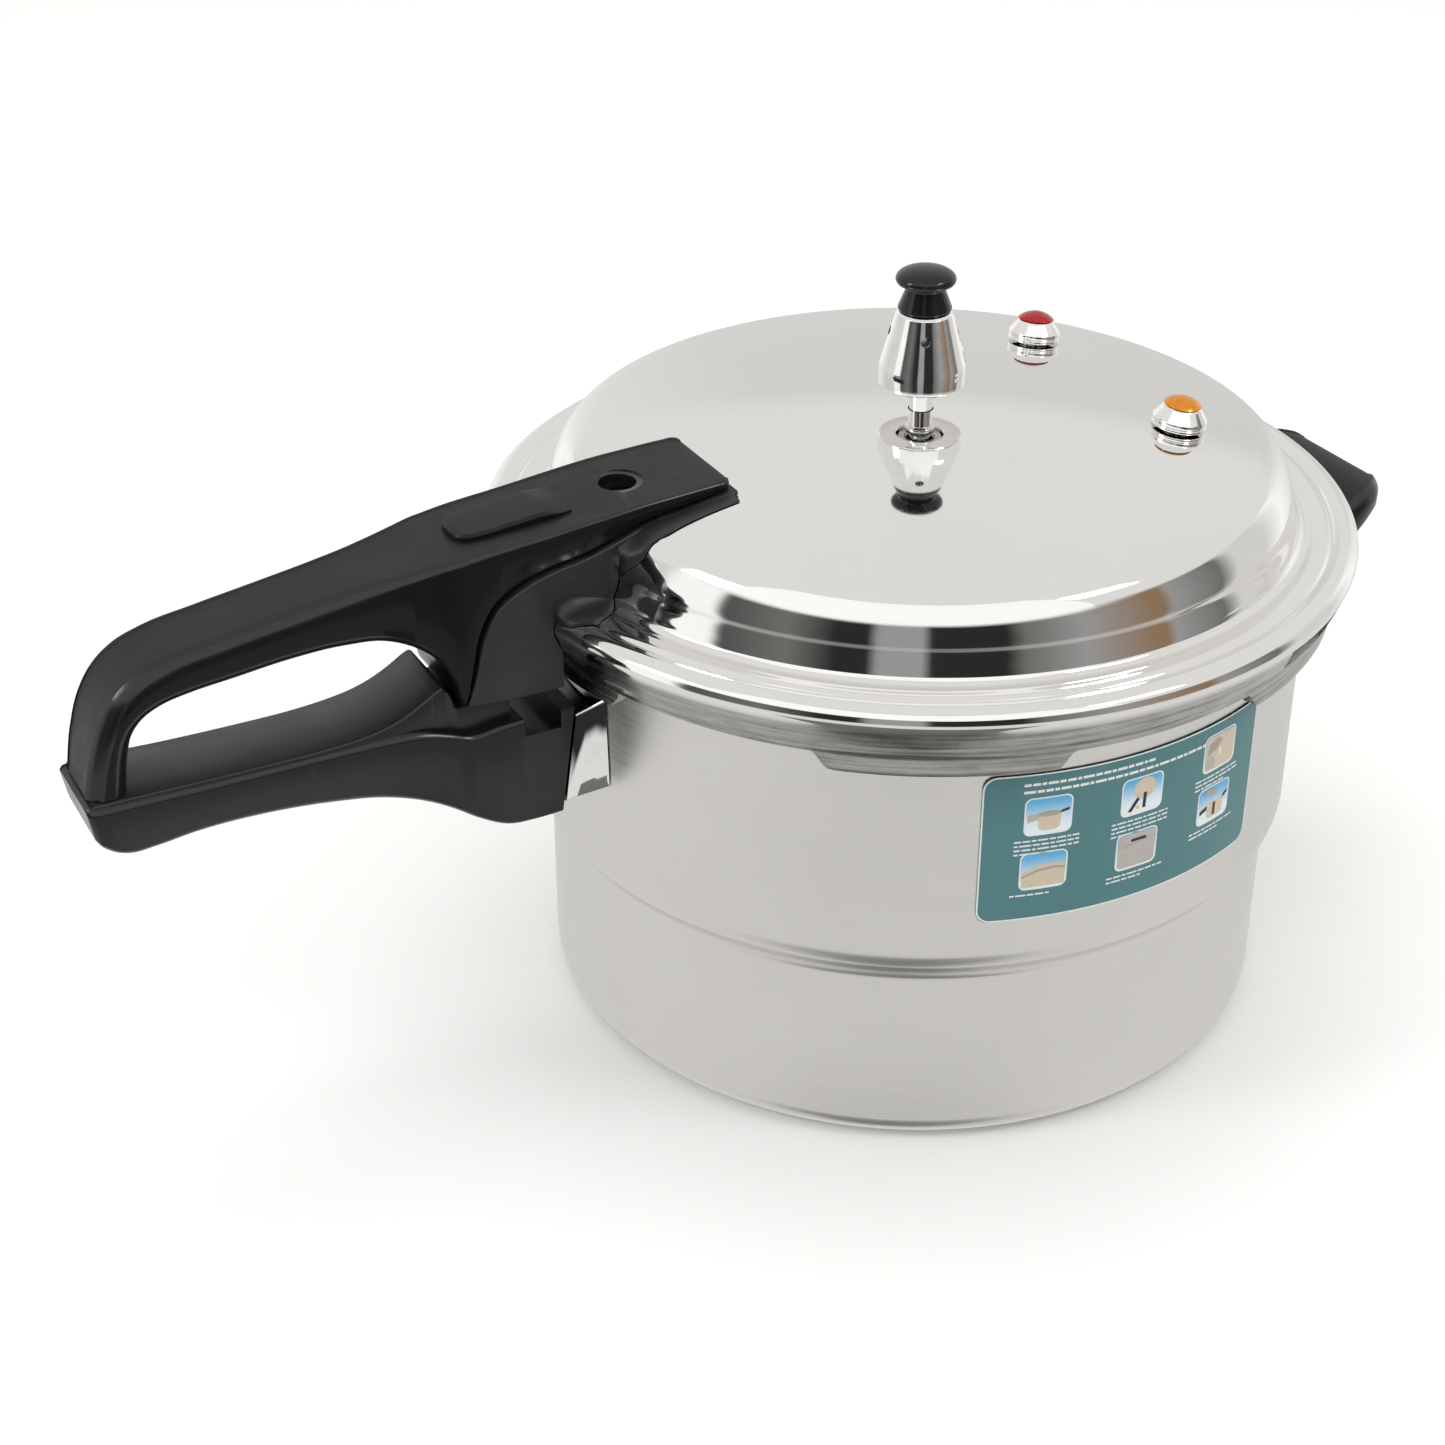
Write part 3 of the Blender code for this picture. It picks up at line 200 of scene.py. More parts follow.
def polished_lid():
    """Buffed aluminium: a near mirror on the dome, shelf and bead, satin and streaky on the skirt. The skirt's
    colour is painted dark, a painted dark reflection over its brush streaks.
    """
    look = Look("polished_aluminium", (0.86, 0.85, 0.83), 1.0, 0.08)
    _, _, z = look.split()
    skirt = look.span(z, 0.1585, 0.1550)
    streaks = look.noise((26.0, 26.0, 900.0), 4.0, 0.6)
    mottle = look.noise((60.0, 60.0, 140.0), 4.0, 0.65)
    haze = look.noise((16.0, 16.0, 16.0), 3.0, 0.55)
    across = look.node("ShaderNodeCombineXYZ")
    look.feed(across.inputs[0], look.math("MULTIPLY", look.radius(), 1600.0))
    rings = look.noise((1.0, 1.0, 1.0), 3.0, 0.6, across.outputs[0])
    bright = look.math("MULTIPLY_ADD", haze, 0.5, look.math("MULTIPLY", rings, 0.5))
    dome_colour = look.blend(look.span(bright, 0.3, 0.7), (0.845, 0.835, 0.815), (0.89, 0.88, 0.865))
    # streak and mottle noise: brush streaks in the skirt's roughness, and the pattern of its painted dark
    # reflection in its colour
    brush_streaks_and_painted_reflection = look.math("MULTIPLY_ADD", streaks, 0.6, look.math("MULTIPLY", mottle, 0.4))
    # painted dark reflection: the skirt's metal colour is painted dark, between 0.24 and 0.54, where the real skirt
    # reflects dark surroundings
    skirt_colour_painted_reflection = look.blend(look.span(brush_streaks_and_painted_reflection, 0.32, 0.66), (0.24, 0.235, 0.23), (0.54, 0.53, 0.51))
    polish = look.math("MULTIPLY_ADD", look.span(bright, 0.35, 0.7), 0.035, 0.035)
    satin = look.math("MULTIPLY_ADD", look.span(brush_streaks_and_painted_reflection, 0.3, 0.7), 0.14, 0.17)
    waves = look.bump(look.noise((22.0, 22.0, 22.0), 2.0, 0.5), 0.10, 0.0006)
    return look.finish(
        look.blend(skirt, dome_colour, skirt_colour_painted_reflection),
        look.math("MULTIPLY_ADD", look.math("SUBTRACT", satin, polish), skirt, polish),
        look.bump(rings, 0.03, 0.00003, waves),
    )


def chrome():
    """Bright chrome plate with faint smudges."""
    look = Look("chrome_plate", (0.90, 0.90, 0.90), 1.0, 0.05)
    smudge = look.noise((140.0, 140.0, 140.0), 4.0, 0.6)
    return look.finish(
        look.blend(look.span(smudge, 0.4, 0.75), (0.91, 0.91, 0.905), (0.84, 0.84, 0.835)),
        look.math("MULTIPLY_ADD", look.span(smudge, 0.35, 0.75), 0.07, 0.03),
        look.bump(look.noise((300.0, 300.0, 300.0), 2.0), 0.03, 0.0001),
    )


def turned_metal(name, tint, gloss):
    """Machined metal with fine turning lines."""
    look = Look(name, tint, 1.0, gloss)
    lines = look.noise((60.0, 60.0, 4200.0), 3.0, 0.6)
    stain = look.noise((220.0, 220.0, 220.0), 4.0, 0.6)
    darker = tuple(0.78 * c for c in tint)
    lighter = tuple(min(1.12 * c, 1.0) for c in tint)
    return look.finish(
        look.blend(look.span(stain, 0.3, 0.72), darker, lighter),
        look.math("MULTIPLY_ADD", look.span(lines, 0.3, 0.7), 0.14, gloss - 0.05),
        look.bump(lines, 0.2, 0.00005),
    )


def bakelite(name, low, high, grain, gloss):
    """Black moulded phenolic: low and high are the roughness of its clean and dusty spots."""
    look = Look(name, (0.010, 0.010, 0.0105), 0.0, low, Specular_IOR_Level=gloss)
    flow = look.noise((28.0, 90.0, 90.0), 4.0, 0.6)
    dust = look.node("ShaderNodeTexVoronoi", feature="F1")
    look.feed(dust.inputs["Vector"], look.stretched((420.0, 420.0, 420.0)))
    dust.inputs["Scale"].default_value = 1.0
    near = look.span(dust.outputs["Distance"], 0.16, 0.05)
    specks = look.math("MULTIPLY", near, look.span(flow, 0.5, 0.62))
    scratch = look.span(look.noise((240.0, 1600.0, 240.0), 2.0, 0.6), 0.68, 0.78, 0.0, 0.35)
    marks = look.math("MAXIMUM", look.math("MULTIPLY", specks, 0.5), scratch)
    ripple = look.bump(look.noise((60.0, 60.0, 60.0), 2.0), 0.05, 0.0005)
    return look.finish(
        look.blend(marks, (0.009, 0.009, 0.0095), (0.035, 0.035, 0.034)),
        look.math("MULTIPLY_ADD", look.span(flow, 0.3, 0.7), high - low, low),
        look.bump(look.noise((1500.0, 1500.0, 1500.0), 2.0, 0.5), grain, 0.00006, ripple),
    )


def silicone():
    """Soft translucent white rubber."""
    look = Look("white_silicone", (0.84, 0.83, 0.80), 0.0, 0.42, Subsurface_Weight=0.25, Subsurface_Scale=0.002)
    bloom = look.noise((160.0, 160.0, 160.0), 4.0, 0.6)
    return look.finish(
        look.blend(look.span(bloom, 0.3, 0.7), (0.756, 0.747, 0.72), (0.84, 0.83, 0.80)),
        look.math("MULTIPLY_ADD", bloom, 0.2, 0.32),
        look.bump(bloom, 0.12, 0.0001),
    )


def anodised(name, dark, light):
    """Coloured anodised metal under a clear gloss."""
    look = Look(name, light, 0.85, 0.24, Coat_Weight=0.5, Coat_Roughness=0.06)
    lines = look.noise((900.0, 900.0, 900.0), 3.0, 0.6)
    return look.finish(
        look.blend(look.span(lines, 0.3, 0.7), dark, light),
        look.math("MULTIPLY_ADD", lines, 0.12, 0.18),
        look.bump(lines, 0.08, 0.00005),
    )


def print_ink(name, colour, vary):
    """Ink on the label's film, under its soft gloss."""
    look = Look(name, colour, 0.0, 0.34, Specular_IOR_Level=0.4)
    grain = look.noise((700.0, 700.0, 700.0), 3.0, 0.6)
    cloud = look.noise((30.0, 30.0, 30.0), 2.0, 0.5)
    mixed = look.math("MULTIPLY_ADD", grain, 0.5, look.math("MULTIPLY", cloud, 0.5))
    return look.finish(
        look.blend(look.span(mixed, 0.3, 0.7), tuple(vary * c for c in colour), colour),
        look.math("MULTIPLY_ADD", cloud, 0.12, 0.28),
        look.bump(grain, 0.04, 0.00004),
    )


def sky_ink():
    """A picture panel's background: blue at the top, fading to white."""
    look = Look("label_sky", (0.4, 0.65, 0.85), 0.0, 0.34, Specular_IOR_Level=0.4)
    _, height, _ = look.split(look.node("ShaderNodeUVMap", uv_map="panel").outputs[0])
    grain = look.noise((500.0, 500.0, 500.0), 3.0, 0.6)
    fade = look.math("ADD", height, look.math("MULTIPLY_ADD", grain, 0.12, -0.06))
    return look.finish(look.blend(look.span(fade, 0.15, 1.0), (0.78, 0.86, 0.90), (0.10, 0.42, 0.70)))


LOOKS = {
    "pot": satin_aluminium(),
    "lid": polished_lid(),
    "chrome": chrome(),
    "steel": turned_metal("turned_steel", (0.60, 0.60, 0.61), 0.24),
    "brass": turned_metal("turned_brass", (0.74, 0.57, 0.28), 0.22),
    "matte_black": bakelite("bakelite_satin", 0.36, 0.46, 0.14, 0.22),
    "panel_black": bakelite("bakelite_panel", 0.40, 0.50, 0.10, 0.60),
    "gloss_black": bakelite("bakelite_gloss", 0.10, 0.17, 0.03, 0.14),
    "edge_black": bakelite("bakelite_edge", 0.17, 0.24, 0.04, 0.50),
    "knob_black": bakelite("bakelite_knob", 0.10, 0.16, 0.03, 0.40),
    "silicone": silicone(),
    "red": anodised("red_anodised", (0.42, 0.012, 0.022), (0.52, 0.022, 0.035)),
    "orange": anodised("orange_anodised", (0.74, 0.24, 0.012), (0.86, 0.33, 0.02)),
    "teal": print_ink("label_teal", (0.078, 0.215, 0.232), 0.92),
    "white_ink": print_ink("label_white", (0.80, 0.82, 0.81), 0.95),
    "cream_ink": print_ink("label_cream", (0.66, 0.57, 0.44), 0.88),
    "shade_ink": print_ink("label_shade", (0.42, 0.36, 0.29), 0.85),
    "grey_ink": print_ink("label_grey", (0.50, 0.47, 0.44), 0.85),
    "dark_ink": print_ink("label_dark", (0.035, 0.035, 0.035), 0.6),
    "yellow_ink": print_ink("label_yellow", (0.62, 0.60, 0.12), 0.9),
    "sky_ink": sky_ink(),
}


# --- mesh helpers ---------------------------------------------------------------------------
def place(name, mesh, looks, body, replaced=(), crease=32.0, matrix=None):
    """Put a mesh in the scene as a piece of a body, smooth but for its creases."""
    obj = bpy.data.objects.new(name, mesh)
    bpy.context.scene.collection.objects.link(obj)
    if matrix is not None:
        mesh.transform(matrix)
    for key in looks:
        mesh.materials.append(LOOKS[key])
    smooth(mesh, crease)
    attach(obj, body)
    if replaced:
        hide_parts(*replaced)
    return obj


def smooth(mesh, crease):
    mesh.shade_smooth()
    mesh.set_sharp_from_angle(angle=math.radians(crease))


def mesh_of(name, bm):
    bmesh.ops.recalc_face_normals(bm, faces=bm.faces)
    mesh = bpy.data.meshes.new(name)
    bm.to_mesh(mesh)
    bm.free()
    return mesh


def arc(centre, radius, start, end, steps):
    """Points on an arc in the outline's plane, angles in degrees."""
    angles = [math.radians(start + (end - start) * k / steps) for k in range(steps + 1)]
    return [(centre[0] + radius * math.cos(a), centre[1] + radius * math.sin(a)) for a in angles]


def softened(points, radius, steps=3, closed=False):
    """An outline with every corner rounded, as far as its neighbours leave room."""
    count = len(points)
    result = []
    for k, (x, z) in enumerate(points):
        if not closed and k in (0, count - 1):
            result.append((x, z))
            continue
        here = Vector((x, z))
        back = Vector(points[k - 1]) - here
        ahead = Vector(points[(k + 1) % count]) - here
        if min(back.length, ahead.length) < 1e-7:
            continue
        turn = back.angle(ahead)
        if turn > math.radians(165):
            result.append((x, z))
            continue
        reach = min(radius / math.tan(turn / 2), 0.45 * back.length, 0.45 * ahead.length)
        start = here + back.normalized() * reach
        end = here + ahead.normalized() * reach
        for step in range(steps + 1):
            t = step / steps
            point = start * (1 - t) ** 2 + here * 2 * t * (1 - t) + end * t**2
            result.append((point.x, point.y))
    return result


def curve_through(points, between):
    """Points between rows of numbers, on a curve whose bends follow the spacing of the rows."""
    spans = [max(math.dist(here, there), 1e-7) for here, there in zip(points, points[1:])]
    chords = []
    for here, there, span in zip(points, points[1:], spans):
        chords.append([(b - a) / span for a, b in zip(here, there)])
    slopes = [chords[0]]
    for index in range(1, len(chords)):
        before, after = spans[index - 1], spans[index]
        pairs = zip(chords[index - 1], chords[index])
        slopes.append([(a * after + b * before) / (before + after) for a, b in pairs])
    slopes.append(chords[-1])
    rows = []
    for index, span in enumerate(spans):
        for step in range(between):
            t = step / between
            row = []
            for a, b, leave, reach in zip(points[index], points[index + 1], slopes[index], slopes[index + 1]):
                held = a * (1 + 2 * t) * (1 - t) ** 2 + b * t**2 * (3 - 2 * t)
                row.append(held + span * (leave * t * (1 - t) ** 2 - reach * t**2 * (1 - t)))
            rows.append(tuple(row))
    rows.append(tuple(points[-1]))
    return rows


def turned_mesh(name, outline, steps=96, closed=False):
    """The outline spun round Z. Points on the axis become single points."""
    bm = bmesh.new()
    rows = []
    for radius, z in outline:
        if radius < 1e-7:
            rows.append([bm.verts.new((0.0, 0.0, z))])
            continue
        turn = [math.tau * k / steps for k in range(steps)]
        rows.append([bm.verts.new((radius * math.cos(a), radius * math.sin(a), z)) for a in turn])
    pairs = list(zip(rows, rows[1:]))
    if closed:
        pairs.append((rows[-1], rows[0]))
    for upper, lower in pairs:
        join_rows(bm, upper, lower)
    return mesh_of(name, bm)


def join_rows(bm, upper, lower):
    """Faces between two rings of points, either of which may be one point."""
    count = max(len(upper), len(lower))
    if count == 1:
        return
    for k in range(count):
        after = (k + 1) % count
        down = [lower[k % len(lower)], lower[after % len(lower)]]
        unique = list(dict.fromkeys([upper[k % len(upper)], *down, upper[after % len(upper)]]))
        if len(unique) > 2:
            bm.faces.new(unique)


def cut_away(mesh, *tools):
    """The mesh after an exact Boolean takes away each closed tool mesh."""
    obj = bpy.data.objects.new("target", mesh)
    helpers = [obj] + [bpy.data.objects.new(f"tool_{k}", tool) for k, tool in enumerate(tools)]
    for helper in helpers:
        bpy.context.scene.collection.objects.link(helper)
    for helper in helpers[1:]:
        modifier = obj.modifiers.new("tool", "BOOLEAN")
        modifier.operation = "DIFFERENCE"
        modifier.solver = "EXACT"
        modifier.object = helper
    graph = bpy.context.evaluated_depsgraph_get()
    result = bpy.data.meshes.new_from_object(obj.evaluated_get(graph))
    for helper in helpers:
        bpy.data.objects.remove(helper, do_unlink=True)
    return result


def fused(name, *meshes):
    """Several closed meshes as one, each left whole."""
    bm = bmesh.new()
    for mesh in meshes:
        bm.from_mesh(mesh)
    return mesh_of(name, bm)


def skinned(name, rings, materials=None):
    """A closed mesh through rings of points. A side's place in the ring may choose its material."""
    bm = bmesh.new()
    loops = [[bm.verts.new(point) for point in ring] for ring in rings]
    bm.faces.new(loops[0])
    bm.faces.new(loops[-1])
    for here, there in zip(loops, loops[1:]):
        for k in range(len(here)):
            face = bm.faces.new((here[k - 1], here[k], there[k], there[k - 1]))
            face.material_index = (materials or {}).get(k, 0)
    return mesh_of(name, bm)


def bar_mesh(name, low_radius, high_radius, low, high, matrix=None, steps=48):
    """A round bar or cone used as a cutter."""
    outline = [(0.0, high), (high_radius, high), (low_radius, low), (0.0, low)]
    mesh = turned_mesh(name, outline, steps)
    if matrix is not None:
        mesh.transform(matrix)
    return mesh


def block_mesh(name, low, high):
    bm = bmesh.new()
    bmesh.ops.create_cube(bm, size=1.0)
    size = Vector(high) - Vector(low)
    centre = (Vector(high) + Vector(low)) / 2
    bmesh.ops.transform(bm, matrix=Matrix.Translation(centre) @ Matrix.Diagonal((*size, 1.0)), verts=bm.verts)
    return mesh_of(name, bm)


def sector_mesh(name, radii, heights, middle, width, across=16):
    """Part of a ring between two radii and two heights, over an arc centred on an angle."""
    (near, far), (low, high) = radii, heights
    rings = []
    for k in range(across + 1):
        angle = middle - width / 2 + width * k / across
        corners = ((near, low), (far, low), (far, high), (near, high))
        rings.append([(r * math.cos(angle), r * math.sin(angle), z) for r, z in corners])
    return skinned(name, rings)


def corner_points(radius, steps, chamfer=0.55):
    """A corner between two faces, part round and part flat bevel, from one face to the other."""
    points = []
    for step in range(steps + 1):
        t = step / steps
        angle = math.radians(90 * t)
        flat = (1 - t, t)
        round_off = (math.cos(angle), math.sin(angle))
        points.append(tuple(radius * (chamfer * a + (1 - chamfer) * b) for a, b in zip(flat, round_off)))
    return points


def bar_section(top, bottom, half_width, corner, steps, lip):
    """A rounded rectangle across a moulded bar. The flat top lies a lip below its bevels."""
    middle = (Vector(top) + Vector(bottom)) / 2
    up = Vector(top) - Vector(bottom)
    half_height = up.length / 2
    up.normalize()
    radius = min(corner, 0.95 * half_height, 0.95 * half_width)
    points = []
    for quarter, (side, rise) in enumerate(((1, 1), (-1, 1), (-1, -1), (1, -1))):
        bend = corner_points(radius, steps)
        bend = [(side * (half_width - radius + a), rise * (half_height - radius + b)) for a, b in bend]
        if quarter in (1, 3):
            bend.reverse()
        if lip and quarter == 0:
            bend.append((bend[-1][0] - lip, half_height - lip))
        if lip and quarter == 1:
            bend.insert(0, (bend[0][0] + lip, half_height - lip))
        points += [middle + up * along + Vector((0.0, across, 0.0)) for across, along in bend]
    return points


def lofted_mesh(name, stations, direction=-1, between=5, steps=5, lip=0.0004):
    """A moulded bar skinned over sections. Its flat top has material 1, its flat sides 2."""
    rings = []
    for top_x, top_z, low_x, low_z, half_width, corner in curve_through(stations, between):
        top = (direction * top_x, 0.0, top_z)
        bottom = (direction * low_x, 0.0, low_z)
        rings.append(bar_section(top, bottom, half_width, corner, steps, lip))
    side = steps + (2 if lip else 1)
    return skinned(name, rings, {side: 1, 2 * side: 2, 0: 2})


def of_one_material(mesh):
    for face in mesh.polygons:
        face.material_index = 0
    return mesh


def dome_height(radius):
    return LID_TOP_Z - DOME_R + math.sqrt(DOME_R**2 - radius**2)


def dome_frame(radius, angle):
    """The place on the lid's dome of a fitting that stands square on it."""
    foot = Matrix.Translation((radius, 0.0, dome_height(radius)))
    lean = Matrix.Rotation(math.asin(radius / DOME_R), 4, "Y")
    return Matrix.Rotation(angle, 4, "Z") @ foot @ lean


# --- pot --------------------------------------------------------------------------------------
def build_pot():
    """The pot with a hollow under its floor, a step, a rolled rim and its lugs."""
    bead_r = POT_UPPER_R + 0.0022
    low_r = POT_LOWER_R - POT_EDGE_R
    outside = [(0.0, 0.0011), (0.0960, 0.0011), (0.0985, 0.0), (low_r, 0.0)]
    outside += arc((low_r, POT_EDGE_R), POT_EDGE_R, -90, 0, 10)[1:]
    step = [
        (POT_LOWER_R, POT_STEP_Z - 0.0040),
        (POT_LOWER_R + 0.0001, POT_STEP_Z),
        (POT_LOWER_R + 0.0012, POT_STEP_Z + 0.0024),
        (POT_UPPER_R - 0.0012, POT_STEP_TOP_Z - 0.0036),
        (POT_UPPER_R - 0.0001, POT_STEP_TOP_Z),
        (POT_UPPER_R, POT_STEP_TOP_Z + 0.0040),
    ]
    rim = [
        (POT_UPPER_R, POT_RIM_Z - 0.0060),
        (POT_UPPER_R + 0.0003, POT_RIM_Z - 0.0047),
        (bead_r, POT_RIM_Z - 0.0032),
        (bead_r, POT_RIM_Z - 0.0008),
        (POT_UPPER_R + 0.0010, POT_RIM_Z),
    ]
    outside += curve_through(step, 4) + curve_through(rim, 3)
    inner_low = POT_LOWER_R - POT_WALL
    inner_high = POT_UPPER_R - POT_WALL
    corner = POT_EDGE_R - 0.0020
    inner_step = [
        (inner_high, POT_STEP_TOP_Z + 0.0050),
        (inner_high - 0.0001, POT_STEP_TOP_Z + 0.0010),
        (inner_low + 0.0001, POT_STEP_Z + 0.0020),
        (inner_low, POT_STEP_Z - 0.0020),
    ]
    inside = [(inner_high + 0.0008, POT_RIM_Z), (inner_high, POT_RIM_Z - 0.0008)]
    inside += curve_through(inner_step, 4)
    inside += arc((inner_low - corner, POT_FLOOR + corner), corner, 0, -90, 8)
    inside.append((0.0, POT_FLOOR))
    shell = turned_mesh("pot_shell", outside + inside, 192)
    middles = [LUG_PHASE + k * LUG_PITCH for k in range(LUG_COUNT)]
    radii = (POT_UPPER_R - 0.0015, POT_LUG_R)
    lugs = [sector_mesh("lug", radii, POT_LUG_Z, middle, POT_LUG_ARC) for middle in middles]
    place("pot_body_fine", fused("pot_body_fine", shell, *lugs), ["pot"], "pot", ["pot_body"])


# Stations along the moulded handles: top out, top up, bottom out, bottom up, half width and
# corner radius. "Out" is the distance from the pot's axis.
POT_HANDLE_STATIONS = (
    (0.1292, 0.1312, 0.1342, 0.0951, 0.0180, 0.0010),
    (0.1400, 0.1309, 0.1425, 0.0948, 0.0180, 0.0012),
    (0.1520, 0.1303, 0.1520, 0.0955, 0.0178, 0.0014),
    (0.1615, 0.1291, 0.1610, 0.1000, 0.0173, 0.0016),
    (0.1680, 0.1312, 0.1680, 0.1048, 0.0168, 0.0018),
    (0.1760, 0.1335, 0.1755, 0.1090, 0.0162, 0.0020),
    (0.1900, 0.1342, 0.1890, 0.1138, 0.0152, 0.0022),
    (0.2050, 0.1342, 0.2050, 0.1166, 0.0147, 0.0023),
    (0.2250, 0.1342, 0.2250, 0.1186, 0.0146, 0.0023),
    (0.2480, 0.1346, 0.2460, 0.1188, 0.0149, 0.0023),
    (0.2600, 0.1350, 0.2575, 0.1179, 0.0153, 0.0022),
    (0.2680, 0.1352, 0.2650, 0.1180, 0.0156, 0.0022),
    (0.2725, 0.1353, 0.2695, 0.1198, 0.0156, 0.0022),
    (0.2748, 0.1352, 0.2727, 0.1225, 0.0152, 0.0020),
    (0.2757, 0.1346, 0.2739, 0.1243, 0.0142, 0.0016),
)
# the raised band and stop on the lower handle: out, top up, half width and corner radius
STOP_FOOT_Z = 0.1270
STOP_ROWS = (
    (0.1480, 0.1384, 0.0137, 0.0010), (0.1600, 0.1386, 0.0137, 0.0010), (0.1655, 0.1388, 0.0137, 0.0010),
    (0.1672, 0.1438, 0.0137, 0.0010), (0.1688, 0.1456, 0.0137, 0.0010), (0.1706, 0.1450, 0.0137, 0.0010),
    (0.1736, 0.1432, 0.0137, 0.0010), (0.1769, 0.1413, 0.0137, 0.0010), (0.1823, 0.1387, 0.0138, 0.0009),
    (0.1880, 0.1369, 0.0138, 0.0008), (0.1950, 0.1357, 0.0138, 0.0007), (0.2050, 0.1350, 0.0136, 0.0007),
    (0.2250, 0.1349, 0.0135, 0.0007), (0.2480, 0.1353, 0.0137, 0.0007), (0.2600, 0.1357, 0.0140, 0.0007),
)
STOP_END = (0.2735, 0.1358, 0.2720, STOP_FOOT_Z, 0.0140, 0.0007)
FERRULE_STATIONS = (
    (0.1150, 0.1385, 0.1150, 0.1060, 0.0275, 0.0010),
    (0.1289, 0.1284, 0.1331, 0.0986, 0.0184, 0.0010),
)
SIDE_HANDLE_STATIONS = (
    (0.1180, 0.1380, 0.1180, 0.1120, 0.0350, 0.0020),
    (0.1290, 0.1380, 0.1290, 0.1130, 0.0350, 0.0020),
    (0.1385, 0.1382, 0.1385, 0.1165, 0.0348, 0.0024),
    (0.1480, 0.1396, 0.1480, 0.1215, 0.0340, 0.0026),
    (0.1560, 0.1414, 0.1560, 0.1262, 0.0326, 0.0030),
    (0.1630, 0.1424, 0.1630, 0.1298, 0.0302, 0.0032),
    (0.1685, 0.1424, 0.1685, 0.1318, 0.0268, 0.0032),
    (0.1712, 0.1420, 0.1712, 0.1328, 0.0236, 0.0030),
    (0.1724, 0.1412, 0.1724, 0.1340, 0.0200, 0.0026),
)


def pot_space():
    """The space that the pot's upper wall takes, with a gap round it."""
    return bar_mesh("pot_space", POT_UPPER_R + GAP, POT_UPPER_R + GAP, 0.060, 0.160, steps=192)


def build_pot_handles():
    """The lower long handle with its ferrule, and the short side handle."""
    notch = block_mesh("notch", (-0.1455, -0.03, 0.1250), (-0.1337, 0.03, 0.14))
    recess = bar_mesh("recess", 0.0046, 0.0046, 0.0900, 0.1004, Matrix.Translation((-0.1500, 0, 0)))
    handle = cut_away(lofted_mesh("bar", POT_HANDLE_STATIONS), notch, recess)
    rows = [(out, up, out, STOP_FOOT_Z, half, corner) for out, up, half, corner in STOP_ROWS]
    stop = cut_away(lofted_mesh("stop", (*rows, STOP_END), lip=0.0), notch)
    finish = ["edge_black", "panel_black", "panel_black"]
    place("pot_handle_fine", fused("pot_handle_fine", handle, stop), finish, "pot", ["pot_handle"])

    ferrule = of_one_material(lofted_mesh("ferrule", FERRULE_STATIONS, lip=0.0))
    ferrule = cut_away(ferrule, pot_space())
    place("pot_handle_ferrule_fine", ferrule, ["chrome"], "pot", ["pot_handle_ferrule"])

    recess = bar_mesh("recess", 0.0042, 0.0042, 0.1050, 0.1216, Matrix.Translation((0.1400, 0, 0)))
    room = block_mesh("room", (0.110, -0.0145, 0.1165), (0.1276, 0.0145, 0.1325))
    side = cut_away(lofted_mesh("bar", SIDE_HANDLE_STATIONS, 1), pot_space(), recess, room)
    finish = ["edge_black", "gloss_black", "gloss_black"]
    place("side_handle_fine", side, finish, "pot", ["side_handle"])


# --- lid --------------------------------------------------------------------------------------
def lid_upper_outline():
    """From the lid's centre over the dome, shoulder, wall, shelf and bead to the skirt."""
    outline = [(SHOULDER_R * k / 26, dome_height(SHOULDER_R * k / 26)) for k in range(26)]
    roll = LID_WALL_R - SHOULDER_R
    high = dome_height(SHOULDER_R)
    shoulder = ((0.0, 0.0), (0.25, 0.0010), (0.47, 0.0028), (0.65, 0.0052), (0.81, 0.0080), (0.94, 0.0112))
    bends = [(SHOULDER_R + part * roll, high - drop) for part, drop in shoulder]
    bends += [
        (LID_WALL_R, high - 0.0148),
        (LID_WALL_R + 0.0014, SHELF_Z + 0.0032), (LID_WALL_R + 0.0023, SHELF_Z + 0.0011),
        (LID_WALL_R + 0.0040, SHELF_Z), (0.1245, SHELF_Z + 0.0006), (0.1285, SHELF_Z + 0.0002),
        (0.1292, SHELF_Z - 0.0003), (0.1300, SHELF_Z + 0.0002), (0.1318, SHELF_Z + 0.0009),
        (0.1345, SHELF_Z + 0.0007), (0.1367, SHELF_Z - 0.0009), (FLANGE_R, SHELF_Z - 0.0031),
        (FLANGE_R - 0.0008, SHELF_Z - 0.0062), (0.1340, SKIRT_GAP_Z + 0.0046),
    ]
    return outline + curve_through(bends, 5)


def skirt_reach(angle):
    """How far the skirt hangs at an angle: 1 over a locking lug, 0 in a gap, eased between."""
    offset = (angle - LUG_PHASE + LUG_PITCH / 2) % LUG_PITCH - LUG_PITCH / 2
    way = (LID_LUG_ARC / 2 + math.radians(1.1) - abs(offset)) / math.radians(2.6)
    way = min(max(way, 0.0), 1.0)
    return way * way * (3 - 2 * way)


def lid_columns():
    """Angles of the lid's columns: evenly spaced, and closer where the skirt's edge curves."""
    angles = set()
    for k in range(288):
        angles.add(round(math.tau * k / 288, 6))
    for k in range(LUG_COUNT):
        for side in (-1, 1):
            edge = LUG_PHASE + k * LUG_PITCH + side * LID_LUG_ARC / 2
            for step in range(-6, 5):
                away = side * math.radians(0.1) - side * math.radians(0.32) * step
                angles.add(round((edge + away) % math.tau, 6))
    ordered = sorted(angles)
    kept = [ordered[0]]
    for angle in ordered[1:]:
        if angle - kept[-1] > math.radians(0.12):
            kept.append(angle)
    return kept


